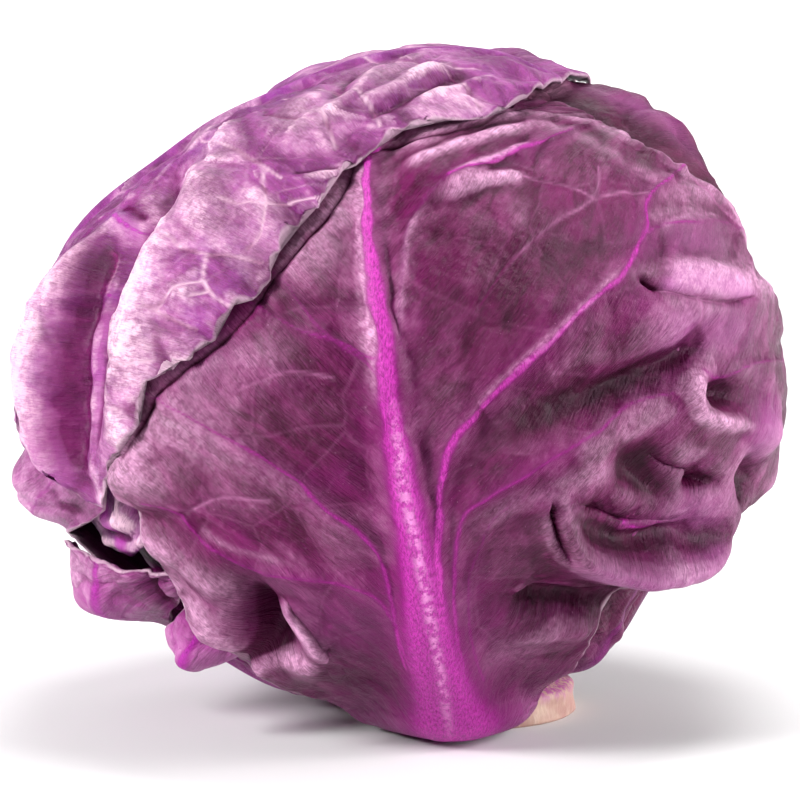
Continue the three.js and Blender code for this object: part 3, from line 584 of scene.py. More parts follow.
add_leaf(
    "leaf_front",
    slot="leaf_outer", palette="plum", facing=(-90, 0), level=0, grid=(300, 300), coarse=10,
    length=190, roughness=0.6, puffs=(15, 0.35), lumpy=0.5, lean=1.1,
    rows=[
        ((-8, -96), (16, -91), (35, -90), (21, 7.5)), ((-18, -80), (14, -76), (41, -77), (16, 8)),
        ((-31, -64), (11, -64), (46, -62), (11, 6.6)), ((-42, -52), (8, -50), (50, -48), (8, 5)),
        ((-52, -38), (6, -37), (61, -42), (6.6, 4.6)), ((-58, -22), (4, -25), (76, -36), (5.6, 4.2)),
        ((-65, -15), (2, -13), (94, -29), (5, 3.9)), ((-65, -4), (0, -2), (111, -19), (4.5, 3.6)),
        ((-60, 6), (-2, 9), (116, -3), (4, 3.3)), ((-63, 20), (-3, 21), (118, 12), (3.6, 3)),
        ((-58, 34), (-5, 33), (109, 28), (3.2, 2.8)), ((-48, 48), (-7, 45), (99, 41), (2.9, 2.6)),
        ((-38, 62), (-8, 57), (91.5, 60.5), (2.6, 2.2)), ((-27, 76), (-7, 70), (79.5, 74), (2.4, 1.4)),
        ((-10, 88), (2, 84), (66, 84), (2.2, 0.7)), ((12, 97), (28, 94), (58, 92), (2, 0.3)),
    ],
    left=dict(lift=0.8, wave=2.4, waves=10, phase=0.5, ripple=0.02, free=(0.06, 0.44)),
    right=dict(lift=0.6, wave=1.4, waves=9, phase=2, ripple=0.015, free=(0.1, 0.84)),
    rib_colour=(18, 10, 6.4, 4.4, 3.2, 2.3, 1.7, 1.3, 1, 0.9), rib_strength=1,
    own_bumps=[((16, -88), (24, 15), 6.5)],
    own_folds=[(CROWN_MARGIN, 0.9, -0.9), ([(62, 82), (76, 73), (88, 60), (95, 50)], 1.6, 0.9)],
    veins=[
        ([(4, -60), (1, -48), (-2, -39), (-5, -33.5), (-10, -31), (-18, -29.5), (-30, -29), (-38, -25),
        (-44, -22), (-50, -17), (-58, -15.5)], 2.3, 1.3, 0.62), ([(1, -54), (-0.6, -44), (-2, -34),
        (-3.4, -26), (-5.4, -21), (-9, -17), (-15, -13), (-21, -7), (-26, -4), (-32, -1), (-38, 1.5),
        (-45, 4.5), (-51, 7), (-58, 9.5)], 2.3, 1.4, 0.68),
        ([(-4, 15), (-8, 19), (-12, 21), (-18, 26), (-22, 31), (-25, 35), (-32, 41)], 1.9, 1, 0.5),
        ([(-5, 19), (-11, 21.5), (-17, 23.5), (-24, 26), (-30, 29), (-37, 33)], 2, 1, 0.55), ([(0, 22),
        (0.5, 34), (1.5, 46), (5, 54), (9, 58), (14, 61), (20, 64), (27, 68), (33, 71), (40, 75), (51, 81),
        (58, 84)], 2.4, 1.6, 0.3),
        ([(12, 60), (20, 64), (27, 68), (33, 71), (40, 75), (48, 79)], 2.6, 2.1, 0.95), ([(12, -60),
        (10, -46), (8.6, -34), (8, -22), (8, -11), (8.5, -5), (11, 2), (16, 8), (21, 13), (28, 19), (35, 25),
        (41, 30), (48, 34.5), (53, 39), (57, 44), (59.5, 48), (62, 55), (70, 61), (84, 69)], 3, 2.2, 1),
        ([(58, 46), (65, 48.5), (74, 49), (88, 49.5), (99, 48)], 1.8, 1, 0.6), ([(17, -62), (14, -50),
        (12, -38), (11.4, -28), (12, -18), (14, -13), (18, -10), (23, -7), (28, -4.5), (34, -1.5), (41, 1.5),
        (47, 5), (54, 7.5), (62, 8.5)], 2.4, 1.5, 0.66),
        ([(20, -60), (17, -50), (15, -39), (15, -29), (17, -21), (19, -15.5), (22.5, -12.5)], 1.6, 0.8, 0.5),
        ([(70, 12.5), (80, 11.5), (90, 12.5), (114, 10)], 1.6, 0.7, 0.6),
        ([(50, -22), (55, -23.5), (62, -24)], 1.2, 0.3, 0.8),
    ],
    fine_veins=[
        [(64, 58), (56, 57.5), (48, 56), (43, 53), (37, 50), (33, 47), (28, 43), (23, 38), (17, 30)],
        [(51, 65), (49.5, 60), (48, 56)],
        [(54.5, 34.5), (58, 32), (63, 31), (68, 29.5), (78, 28.5), (92, 29.5)],
        [(68, 29.5), (70.5, 25), (72, 19)], [(84, 69), (86, 58), (97, 48)], [(-34, 12), (-24, 16), (-14, 15)],
        [(-48, -17), (-38, -12), (-28, -12)], [(30, 62), (40, 60), (48, 56)],
    ],
    folds=[
        ([(72, 20), (68, 18), (64, 17), (57, 16), (50, 13.5), (42, 11)], 2.4, -1.5),
        ([(70, 13), (66.5, 9.5), (66, 6), (68, 3.6), (73, 1.6), (79, -0.4), (86, -2.5)], 1.4, 1.3),
        ([(54, 35), (56, 33), (58, 32)], 1, -2.2), ([(57, 32.5), (68, 30), (80, 29), (93, 30)], 1.2, -0.9),
        ([(56, 36.5), (66, 37.5), (78, 36.5), (88, 33)], 1.8, 0.8),
        ([(37, -18), (43, -22.5), (50, -25.5), (58, -26.5), (68, -26)], 2.4, -3),
        ([(34, -20), (37, -24), (43, -28), (51, -31.5), (60, -33.5), (69, -33), (80, -32)], 1.9, 1.8),
        ([(32.5, -12.5), (32.6, -17), (34, -21.5), (36.5, -25.5)], 0.9, -3),
        ([(22, -37), (33, -40), (44, -43), (54, -46)], 3.2, -2.2),
        ([(24, -33.5), (36, -35.5), (48, -38.5)], 1.6, 0.9), ([(24, -49), (36, -48), (46, -50)], 2.4, 1.3),
        ([(-37, -60), (-33, -57.5), (-27, -57), (-19, -57)], 1.9, 1.5),
        ([(1, 65), (10, 69.5), (22, 75), (36, 80)], 1.7, 1.3),
        ([(0, 70), (10, 75.5), (22, 81), (36, 85)], 1.7, 1.4),
        ([(9, 56), (17, 59.5), (24, 61.5), (30, 62)], 1.8, 1.5), ([(36, 84), (46, 84.5), (57, 83)], 1.3, 0.9),
        ([(64, 66), (76, 61), (90, 57)], 3.4, 1), ([(-58, -21), (-50, -28), (-44, -33), (-38, -36)], 2.6, 1),
        ([(-56, 2), (-48, 0), (-40, -4)], 3, 0.9),
    ],
    bumps=[
        ((76, 6.5), (5, 3.4), -1.8), ((57, -12), (7, 4), -2.8, -38), ((73, -14), (4.2, 2), -3, -12),
        ((87, -19), (2, 4.6), -3.4), ((-62, -8), (7, 7), 1.8), ((50, 2), (10, 4), 1.4, 8),
        ((43, -4), (6, 5), 1.4), ((66, -5), (6, 3), 1.2, -20), ((-32, -45), (4, 9), -2.4, 12),
        ((40, 42), (8, 5), -0.9, 40), ((30, 30), (9, 5), 0.9, 45), ((24, 48), (8, 5), 0.8, 50),
        ((62, 25), (9, 4), 0.9, 10), ((-44, 16), (9, 6), 0.9, 30), ((-30, -14), (12, 5), -0.8, -25),
    ],
    flaps=[
        ([(71, -22), (64, -24), (57, -23), (50, -22), (47, -20.5), (41, -17), (33, -12)], 4.5, 1.9, 1.6),
        ([(-19, -56), (-19, -52), (-21.5, -46), (-26, -40), (-29, -35.5)], 4.5, 2, 1.8),
        ([(71, -12.5), (63, -10.5), (59, -8), (56.5, -4)], 3.5, 1.4, 1),
    ],
    painted={
        # pale wax bloom and painted highlights: on the rib's left flank, the crests of folds, the margins and
        # the shelf
        "bloom_and_highlight": [
            ([(-10, 66), (-9, 52), (-7.6, 38), (-6, 24), (-3.6, 8)], 1.9, 0.75),
            ([(-66, -13), (-61, -21), (-53, -29), (-47, -40), (-41, -51), (-33, -62)], 2.6, 0.8),
            ([(-57, -22), (-50, -29), (-42, -34), (-36, -33)], 4, 0.5),
            ([(9, 55.5), (17, 59), (24, 61), (30, 61.5)], 1.8, 0.8),
            ([(1, 65), (10, 69.5), (22, 75), (36, 80)], 1.6, 0.9),
            ([(0, 71), (10, 76.5), (22, 82), (36, 86)], 2.2, 0.9), ([(44, 86), (57, 84), (71, 77)], 2, 0.6),
            ([(52, 89), (62, 84), (74, 76.5), (85, 67), (93, 56), (98, 44), (100, 34)], 1.3, 1),
            ([(-36, -60), (-32, -57), (-26, -56.5), (-19, -56.5)], 2, 0.9),
            ([(-19, -53), (-21.5, -46), (-26, -40)], 1.1, 0.8),
            ([(70, 14), (66, 9), (67, 4), (75, 0.6), (86, -2.5)], 1.1, 0.8),
            ([(60, 35), (70, 35.5), (82, 34.5), (98, 33), (112, 31)], 4, 0.85), ((64, 20), (8, 4), 0.3, -20),
            ([(52, -48), (59, -50), (66, -47)], 0.9, 0.9),
            ([(0, 22.5), (0.6, 34), (2, 46), (6, 54)], 0.7, 0.5),
            ([(13, 62), (21, 66.4), (34, 73.5)], 0.7, 0.9),
            ([(34, 82), (48, 78), (62, 68), (72, 60)], 2.4, 0.35), ([(60, 50), (70, 53), (84, 54)], 2, 0.4),
            ([(12, 4), (22, 15.5), (36, 27), (50, 37.5)], 0.6, 0.6), ([(62, 46), (72, 51), (88, 52)], 1, 0.5),
            ([(-44, -20), (-36, -23.5), (-22, -27)], 0.7, 0.3), ((-30, 20), (9, 5), 0.3, 25),
            ((-24, -8), (10, 3), 0.25, -30), ((22, -14), (8, 3), 0.3, 20), ((40, -8), (12, 3), 0.35, 12),
            ((-60, -6), (9, 8), 0.9), ((-48, 4), (14, 8), 0.5, -25), ((-22, 44), (8, 8), 0.6),
            ((-16, 56), (6, 10), 0.5), ((30, -56), (12, 7), 0.35, -20), ((76, 56), (10, 8), 0.35),
            ((90, 38), (12, 8), 0.3), ((62, -33), (8, 2), 0.3), ((84, 66), (8, 6), 0.4),
        ],
        "pink": [
            # the two long strokes on the shelf paint its highlight as well as its pink
            ([(60, 34.5), (70, 34.5), (80, 33), (92, 31)], 3.4, 1), ((80, 22), (12, 6), 0.5),
            ([(58, 33), (66, 33), (80, 32), (94, 30)], 2.2, 1), ((72, 44), (16, 6), 0.35),
            ((93, -5), (8, 7), 0.8), ([(36, -25), (46, -30), (58, -33), (70, -33), (80, -31)], 2.4, 0.6),
            ((20, -84), (26, 12), 0.55), ((64, 24), (9, 5), 0.4), ((70, -22), (12, 6), 0.5),
            ((-22, -42), (30, 12), 0.25), ((-46, 24), (10, 14), 0.3),
        ],
        "shade": [
            (CROWN_MARGIN, 0.7, 0.9), ([(72, 19), (66, 17), (57, 15.5), (48, 12.5), (40, 9.5)], 2, 0.9),
            ((27, 5), (9, 4.5), 0.9, 20), ((38, 8), (8, 3), 0.6, 25),
            ([(24, -37), (36, -40), (50, -44)], 3.6, 0.8), ((57, -12), (8, 5), 0.9, -38),
            ((73, -14), (4, 2.2), 1, -12), ((87, -19), (2.6, 5), 1), ((-33, -45), (5, 11), 1, 12),
            ([(37, -18), (43, -22.5), (52, -26), (64, -26)], 2, 0.8), ((-8, -60), (13, 14), 0.55),
            ((30, 30), (18, 18), 0.25), ((16, 26), (10, 24), 0.35), ((-18, 4), (14, 14), 0.3),
            ((34, -64), (12, 10), 0.6), ((46, -52), (8, 8), 0.5), ((24, -22), (9, 8), 0.4),
            ((-46, -10), (12, 5), 0.25, -20), ([(54, 35.5), (56, 33.5), (58, 32)], 1, 1),
            ([(33, -12), (33, -18), (35, -24)], 1, 1), ((10, 44), (6, 12), 0.4),
            ((34, 42), (14, 9), 0.25, 45), ((-26, 30), (7, 12), 0.3, 30),
        ],
        # the rib's white streak, partly painted highlight, and painted highlights along the upper edges of
        # two side veins
        "streak_and_highlight": [
            ([(12, 60.8), (20, 65.2), (27, 69), (34, 72.6)], 0.5, 0.8),
            ([(22, 14.6), (29, 20.4), (36, 26), (43, 31.4)], 0.45, 0.55),
            ([(-1.5, 11), (0.6, -6), (4.2, -24), (8.2, -47), (12.6, -77)], 1.1, 1),
        ],
    },
)

add_leaf(
    "leaf_crown",
    slot="leaf_dusty", palette="dusty", facing=(165, 35), level=-1.3, tuck=3, grid=(280, 330),
    coarse=10, length=262, roughness=0.8, puffs=(19, 0.8), ragged=(1.3, 0.8), curl=0.9, lumpy=0.5, lean=0.6,
    rib_colour=(9, 6, 3, 2, 1.6, 1.3, 1, 1), rib_strength=0.35,
    rows=[
        ((-54, -149), (-43, -151), (-31, -151), (9, 3.4)), ((-59, -128), (-37, -131), (-20, -133), (8, 3.8)),
        ((-64, -103), (-27, -104), (-12, -107), (6.5, 3.6)), ((-71, -84), (-20, -86), (-4, -90), (6, 3.4)),
        ((-78, -64), (-14, -68), (8, -72), (5.5, 3.2)), ((-84, -45), (-8, -50), (26, -54), (5, 3)),
        ((-88, -27), (-4, -33), (48, -43), (4.6, 2.8)), ((-90, -17), (-3, -24), (72, -54), (4.4, 2.6)),
        ((-90, -8), (-2, -17), (83, -38), (4.2, 2.5)), ((-88, 12), (0, -1), (87, -17), (3.8, 2.2)),
        ((-84, 30), (1, 15), (92, 4), (3.5, 2)), ((-77, 48), (3, 32), (91, 24), (3.2, 1.8)),
        ((-69, 64), (4, 48), (84, 41), (2.9, 1.6)), ((-60, 80), (5, 64), (73, 57), (2.6, 1.4)),
        ((-50, 94), (5, 80), (57, 76), (2.3, 1.1)), ((-39, 105), (4, 96), (45, 97), (2, 0.8)),
        ((-27, 113), (4, 113), (30, 107), (1.8, 0.5)),
    ],
    left=dict(lift=0.4, wave=2, waves=9, phase=0, ripple=0.015, free=(0.1, 0.85)),
    right=dict(lift=-1.5, wave=1.1, waves=13, phase=1, ripple=0.018, free=(0.2, 0.9)),
    tip=dict(lift=0.2, wave=0.8, waves=4, phase=0),
    veins=[
        ([(-10, -58), (10, -40), (34, -30), (56, -36), (70, -44)], 2, 0.9, 0.35),
        ([(-2, -55), (20, -34), (42, -22), (54, -10)], 2, 0.9, 0.35),
        ([(-1, -20), (18, 2), (31, 20), (41, 33)], 1.8, 0.8, 0.3),
        ([(1, 14), (16, 34), (34, 48)], 1.8, 0.8, 0.3),
        ([(-22, -92), (-34, -78), (-48, -68), (-68, -60)], 2.2, 1.2, 0.5),
        ([(-2, -50), (-22, -30), (-46, -18), (-74, -10)], 2.2, 1.1, 0.5),
        ([(-1, -14), (-20, 8), (-42, 24), (-66, 34)], 2, 1, 0.45),
        ([(2, 24), (-14, 46), (-32, 64), (-46, 76)], 1.8, 0.9, 0.4),
        ([(37, 2), (42, 3), (46, 4.4), (49, 7), (58, 12)], 1.5, 0.8, 0.95),
        ([(54, -10), (57, -9), (66, -4), (75, 0)], 1, 0.4, 0.7),
    ],
    fine_veins=[
        [(58, 12), (67, 15), (71, 16), (77, 20), (80, 24), (87, 30)],
        [(77, 20), (82, 16), (85, 15), (83, 11)], [(85, 15), (89, 16), (93, 19)],
        [(75, 0), (79, 2), (82, 3), (89, 6)], [(79, 2), (79, 9), (81, 13), (83, 16)],
        [(52, 38), (57, 40), (60, 42), (64, 42), (67, 41), (73, 39), (78, 36), (81, 33), (82, 29)],
        [(66, 30), (70, 33), (71, 35.5), (73, 38)], [(73, 38), (76, 44), (78, 51)],
        [(34, 29), (41, 33), (51, 38), (61, 42), (68, 45)], [(28, 59), (36, 66.5), (46, 71), (56, 72)],
        [(46, 60), (55, 60), (62, 60)], [(19, 83), (27, 89), (32, 93), (39, 95), (44, 97)],
        [(6, 68), (12, 73), (18, 80), (22, 88), (20, 96)], [(71, -18), (77, -14), (80, -13), (85, -8)],
        [(46, -3), (49, -3), (54, -10)], [(64, -20), (73, -27), (82, -24)], [(36, 46), (44, 50), (50, 57)],
        [(12, 40), (24, 50), (36, 66)],
    ],
    folds=[
        ([(40, 2), (46, -4), (50, -10), (54, -17), (57, -24), (60, -31), (64, -40), (69, -49)], 4, -3.4),
        ([(51, -3), (56, -12), (61, -20), (65, -29), (69, -37), (72, -43)], 2.4, 1.6),
        ([(38, -10), (43, -22), (47, -32), (54, -42), (63, -51)], 4, 2.2),
        ([(34, 4), (38, 6), (44, 8)], 2.4, -1.2), ([(15, 68), (36, 64), (46, 54)], 2, -1),
        ([(20, 73), (38, 69), (52, 57)], 1.8, 1.1), ([(24, 94), (38, 84), (50, 71), (62, 60)], 2, -1.2),
        ([(20, 90), (34, 80), (46, 68)], 2, 1.1), ([(22, 100), (34, 92), (44, 82)], 1.7, 1),
        ([(8, 86), (20, 84), (32, 76)], 2.2, -1), ([(33, 12), (31, 20), (34, 30)], 2.2, 1),
        ([(38, 20), (44, 30), (52, 38)], 2.6, -0.8), ([(67, 47), (68.5, 54), (70, 60)], 1.6, -1.4),
    ],
    bumps=[
        ((68, 24), (7, 6), 1.1), ((79, 9), (5, 6), 1), ((78, -9), (7, 6), 1.3), ((56, 26), (9, 8), 1),
        ((64, 8), (8, 5), 0.9), ((66, 36), (6, 5), 0.8), ((74, 46), (5, 6), 0.8), ((44, 58), (8, 5), 0.8),
        ((30, 76), (8, 6), 0.8), ((50, 48), (8, 5), 0.8, 30),
    ],
    flaps=[([(72, 52), (71, 58), (66, 62)], 3, 1.1, 0.6)],
    painted={
        # pale wax bloom and painted highlights on swellings and fold crests
        "bloom_and_highlight": [
            ((78, -9), (8, 8), 1), ((72, 3), (8, 6), 0.7), ((66, 22), (8, 8), 0.7), ((52, 26), (12, 10), 0.5),
            ((46, 56), (12, 8), 0.5), ((26, 74), (10, 10), 0.4), ((84, -24), (4, 12), 0.8),
            ([(70, 50), (70.5, 56), (69, 60)], 1.2, 1), ([(20, 72), (38, 68), (52, 56)], 1.4, 0.7),
            ([(20, 90), (34, 80), (46, 68)], 1.6, 0.7),
            ([(38, -10), (43, -22), (47, -32), (54, -42)], 2.4, 0.5), ((48, 12), (9, 5), 0.5),
            ([(40, -10), (44, -18), (47, -27), (49, -35), (53, -44)], 2, 0.7),
        ],
        "pink": [
            ([(38, 2), (46, 4), (52, 8), (58, 11)], 2.2, 0.8), ((60, -46), (9, 8), 0.9),
            ([(56, -10), (61, -18), (66, -28), (71, -38)], 1.8, 0.7),
        ],
        "shade": [
            ([(42, 1), (47, -6), (51, -13), (54, -20), (56, -28), (59, -35), (63, -42), (68, -50)], 5, 1),
            ([(48, -6), (53, -13), (57, -20), (60, -28), (63, -35), (66, -42)], 3, 0.8),
            ([(34, 4), (38, 6), (44, 7)], 2.2, 0.6), ((88, 30), (5, 6), 0.45), ((84, 42), (5, 6), 0.35),
            ((76, 30), (8, 5), 0.3), ((64, 64), (5, 6), 0.5), ([(24, 94), (38, 84), (50, 71)], 1.4, 0.5),
            ((60, 30), (5, 4), 0.25),
        ],
    },
)

add_leaf(
    "leaf_back",
    slot="leaf_outer", palette="plum", facing=(70, -5), level=0, grid=(200, 220), coarse=10,
    length=165, roughness=1, puffs=(15, 0.8),
    rows=[
        ((-24, -85), (-9, -86), (5, -90), (10, 5)), ((-34, -74), (-5, -74), (28, -80), (8.5, 4.6)),
        ((-52, -58), (-3, -60), (46, -66), (7, 4.2)), ((-66, -36), (-2, -42), (60, -48), (6, 3.8)),
        ((-72, -12), (-2, -23), (78, -22), (5.4, 3.4)), ((-72, 12), (-2, -3), (79, 2), (4.8, 3)),
        ((-66, 34), (0, 16), (73, 26), (4.2, 2.5)), ((-56, 54), (2, 36), (62, 48), (3.6, 2)),
        ((-40, 70), (2, 55), (44, 64), (3, 1.4)), ((-22, 79), (1, 76), (24, 74), (2.4, 0.8)),
    ],
    left=dict(lift=0.8, wave=2, waves=7, phase=0.8, free=(0.12, 0.8)),
    tip=dict(lift=0.2, wave=0.4, waves=3, phase=1),
    veins=[
        ([(0, -62), (-16, -50), (-36, -42), (-60, -36)], 2.6, 1.8, 0.9),
        ([(-2, -36), (-18, -18), (-40, -6), (-68, 2)], 2.6, 1.7, 0.9),
        ([(-2, -8), (-16, 12), (-36, 26), (-60, 36)], 2.4, 1.5, 0.85),
        ([(1, 18), (-10, 38), (-26, 54), (-40, 64)], 2, 1.2, 0.8),
        ([(0, -62), (16, -50), (36, -44), (62, -42)], 2.6, 1.8, 0.9),
        ([(-2, -36), (16, -20), (40, -8), (72, -4)], 2.6, 1.7, 0.9),
        ([(-2, -8), (14, 12), (36, 26), (64, 34)], 2.4, 1.5, 0.85),
    ],
    painted={
        "bloom_and_highlight": [((-30, 30), (30, 26), 0.4), ((34, 8), (20, 30), 0.3)],
        "pink": [((-8, -76), (18, 10), 0.8)],
        "shade": [((40, -50), (24, 16), 0.4)],
    },
)

add_leaf(
    "leaf_right",
    slot="leaf_dark", palette="deep", facing=(15, 5), level=1, grid=(180, 200), coarse=10, length=185,
    roughness=1, puffs=(15, 0.8),
    rows=[
        ((-23, -86), (-13, -84), (-2, -86), (8, 3.6)), ((-28, -77), (-9, -74), (20, -76), (7, 3)),
        ((-34, -60), (-2, -57), (44, -58), (6, 2)), ((-40, -36), (2, -34), (54, -34), (5, 1.6)),
        ((-44, -10), (3, -8), (57, -8), (4.5, 1.4)), ((-46, 14), (3, 18), (58, 18), (4, 1.2)),
        ((-48, 36), (2, 42), (58, 44), (3.5, 1)), ((-44, 58), (0, 66), (54, 66), (3, 0.8)),
        ((-44, 76), (0, 86), (40, 86), (2.5, 0.6)), ((-30, 92), (0, 98), (18, 98), (2, 0.4)),
    ],
    tip=dict(lift=0.3, wave=0.6, waves=3, phase=1), own_bumps=[((-7, 57), (11, 20), 8.5)],
    own_folds=[([(-25, 80), (-26, 72), (-27, 62), (-28, 50), (-30, 40), (-32, 30), (-34, 22)], 2.6, -2.2)],
    veins=[
        ([(-1, -30), (-16, -10), (-34, 4)], 2, 0.9, 0.6), ([(3, 0), (-12, 22), (-30, 40)], 2, 0.9, 0.6),
        ([(1, 34), (-10, 54), (-24, 70)], 1.8, 0.8, 0.6), ([(-1, -30), (16, -12), (40, 2)], 2, 0.9, 0.6),
        ([(3, 0), (18, 22), (40, 38)], 2, 0.9, 0.6), ([(1, 34), (14, 54), (30, 68)], 1.8, 0.8, 0.6),
    ],
    painted={
        "pink": [((-12, 60), (4, 14), 0.6)],
        # a painted highlight on the top edge
        "bloom_and_highlight": [([(-30, 88), (-22, 84), (-10, 76)], 3, 0.5)],
        "shade": [
            ([(-25, 84), (-26, 72), (-27, 62), (-28, 50), (-30, 40), (-32, 30), (-34, 22)], 6, 1),
            ((-20, 66), (8, 16), 0.4),
        ],
    },
)

add_leaf(
    "leaf_left",
    slot="leaf_bright", palette="mauve", facing=(175, -25), level=1.3, grid=(160, 180), coarse=10,
    length=125, roughness=0.4, puffs=(12, 0.3), lumpy=0.4,
    rows=[
        ((-15, -75), (-6, -75), (3, -74), (7, 2.6)), ((-40, -58), (-14, -57), (-4, -55), (6.5, 3)),
        ((-58, -38), (-16, -38), (-5, -36), (6, 2.6)), ((-68, -20), (-16, -22), (2, -16), (5, 1.6)),
        ((-74, 0), (-14, -5), (16, 1), (4.4, 0.8)), ((-72, 18), (-12, 12), (46, 7), (4, 0.6)),
        ((-62, 36), (-8, 28), (50, 16), (3.5, 0.5)), ((-44, 48), (-2, 42), (44, 30), (3, 0.3)),
    ],
    right=dict(lift=1, wave=1, waves=4, phase=0, free=(0.1, 0.66)), own_bumps=[((20, 15), (12, 9), 11)],
    own_folds=[([(14, 18), (24, 12), (38, 8)], 2, -1.2), ([(20, 26), (30, 18), (44, 13)], 2, 1)],
    veins=[([(-14, -30), (0, -8), (18, 8), (34, 16)], 2, 1, 0.6)],
    painted={"bloom_and_highlight": [((28, 12), (8, 6), 0.5)], "pink": [((18, 6), (10, 10), 0.6)]},
)

add_leaf(
    "leaf_left_fold",
    slot="leaf_dusty", palette="dusty", facing=(-160, -30), level=2.8, grid=(120, 80), coarse=2,
    length=32, roughness=0.5, puffs=(9, 0.3),
    rows=[
        ((-9, 5), (9, 5), (27, 12), (3, 0.2)), ((-11, 15), (9, 16), (32, 23), (3, 0.3)),
        ((-12, 25), (10, 27), (34, 31), (3, 0.3)), ((-10, 34), (12, 36), (34, 38), (3, 0.2)),
    ],
    own_folds=[
        ([(16, 14), (19, 20), (21, 26)], 3, 2.6), ([(24, 14), (26, 21)], 2.6, -1.6),
        ([(2, 15), (12, 14), (18, 16)], 3, 2), ([(-6, 8), (4, 8), (14, 8), (22, 12)], 1.2, 1.2),
        ([(20, 19), (24, 22)], 1.2, 1), ([(-2, 12), (8, 12), (16, 13)], 1.8, -1.4),
    ],
    painted={
        "bloom_and_highlight": [
            ([(19, 26), (19, 18), (16, 12), (12, 8), (2, 7), (-8, 7)], 1.6, 0.9), ((-2, 15), (6, 3), 0.5),
        ],
        "shade": [((6, 12), (9, 2), 0.6), ((25, 20), (4, 6), 0.6)],
    },
)

add_leaf(
    "leaf_left_low",
    slot="leaf_bright", palette="mauve", facing=(-160, -30), level=1.9, grid=(120, 150), coarse=2,
    length=77, roughness=0.7,
    rows=[
        ((-5, -67), (3, -67), (11, -66), (4, 1.4)), ((-14, -42), (-5, -40), (4, -39), (4, 1.4)),
        ((-20, -22), (-8, -21), (4, -20), (4, 1.2)), ((-20, -8), (-2, -9), (15, -10), (3.6, 1)),
        ((-15, 4), (6, 3), (32, -1), (3, 0.6)), ((-9, 10), (8, 8), (34, 3), (2.4, 0.3)),
    ],
    tip=dict(lift=2, wave=1, waves=2, phase=1),
    own_bumps=[((-3, -1), (13, 10), 11), ((17, 0), (9, 7), 4), ((16, -2), (4, 3), -1.6)],
    own_folds=[
        ([(21, 4), (21, -8)], 3, -1.5), ([(24, 6), (19, -6)], 1.2, -1.4),
        ([(-6, 7), (8, 5), (24, 4)], 1.4, 1),
    ],
    painted={
        "bloom_and_highlight": [((0, 6), (14, 3), 0.7)],
        "pink": [((0, -2), (12, 8), 0.7)],
        "shade": [((18, -2), (6, 4), 0.6)],
    },
)

add_leaf(
    "leaf_base_left",
    slot="leaf_bright", palette="magenta", facing=(-140, -50), level=2.8, grid=(110, 130), coarse=2,
    length=60, roughness=0.6,
    rows=[
        ((2, -36), (8, -35), (14, -33), (4, 1.4)), ((-8, -21), (0, -20), (8, -20), (4, 1.4)),
        ((-15, -7), (-3, -6), (8, -6), (4, 1.2)), ((-15, 7), (-2, 8), (11, 7), (3.4, 0.8)),
        ((-7, 16), (5, 17), (18, 17), (2.8, 0.5)), ((2, 22), (9, 23), (18, 23), (2.4, 0.3)),
    ],
    own_bumps=[((0, 12), (11, 8), 12)],
    own_folds=[([(-4, 14), (4, 15), (12, 14)], 2, -1.2), ([(-4, 8), (6, 8), (16, 10)], 1.6, 0.8)],
    painted={"pink": [((0, 12), (14, 8), 0.8)], "shade": [((8, 20), (8, 3), 0.5)]},
)

add_leaf(
    "leaf_base_front",
    slot="leaf_dark", palette="deep", facing=(-115, -58), level=3.6, grid=(90, 90), coarse=2,
    length=40, roughness=0.6,
    rows=[
        ((6, -20), (12, -18), (20, -16), (4, 1.2)), ((-3, -12), (5, -10), (14, -8), (4, 1)),
        ((-13, -1), (-1, 0), (11, 0), (3.4, 0.6)), ((-16, 10), (-4, 11), (9, 11), (2.6, 0.3)),
        ((-16, 18), (-5, 19), (8, 19), (2.6, 0.2)),
    ],
    own_bumps=[((-3, 6), (6, 8), 6)], painted={"pink": [((-10, 8), (8, 8), 0.5)]},
)

add_leaf(
    "leaf_right_low",
    slot="leaf_dark", palette="deep", facing=(-38, -48), level=2, grid=(120, 100), coarse=2,
    length=44, roughness=0.8,
    rows=[
        ((-10, -17), (3, -17), (14, -17), (4.4, 1.2)), ((-17, -6), (3, -6), (20, -6), (4.2, 1.1)),
        ((-20, 2), (3, 3), (23, 4), (4, 1)), ((-19, 12), (3, 13), (26, 14), (3, 0.5)),
        ((-12, 22), (4, 24), (23, 26), (2.4, 0.3)),
    ],
    own_bumps=[((5, 0), (9, 10), 4), ((-14, -7), (9, 12), 2.4)],
    own_folds=[([(0, 16), (8, 6), (14, -6)], 2, 1.2)],
    painted={"pink": [((4, 2), (8, 8), 0.4)], "shade": [((14, 14), (14, 8), 0.5)]},
)
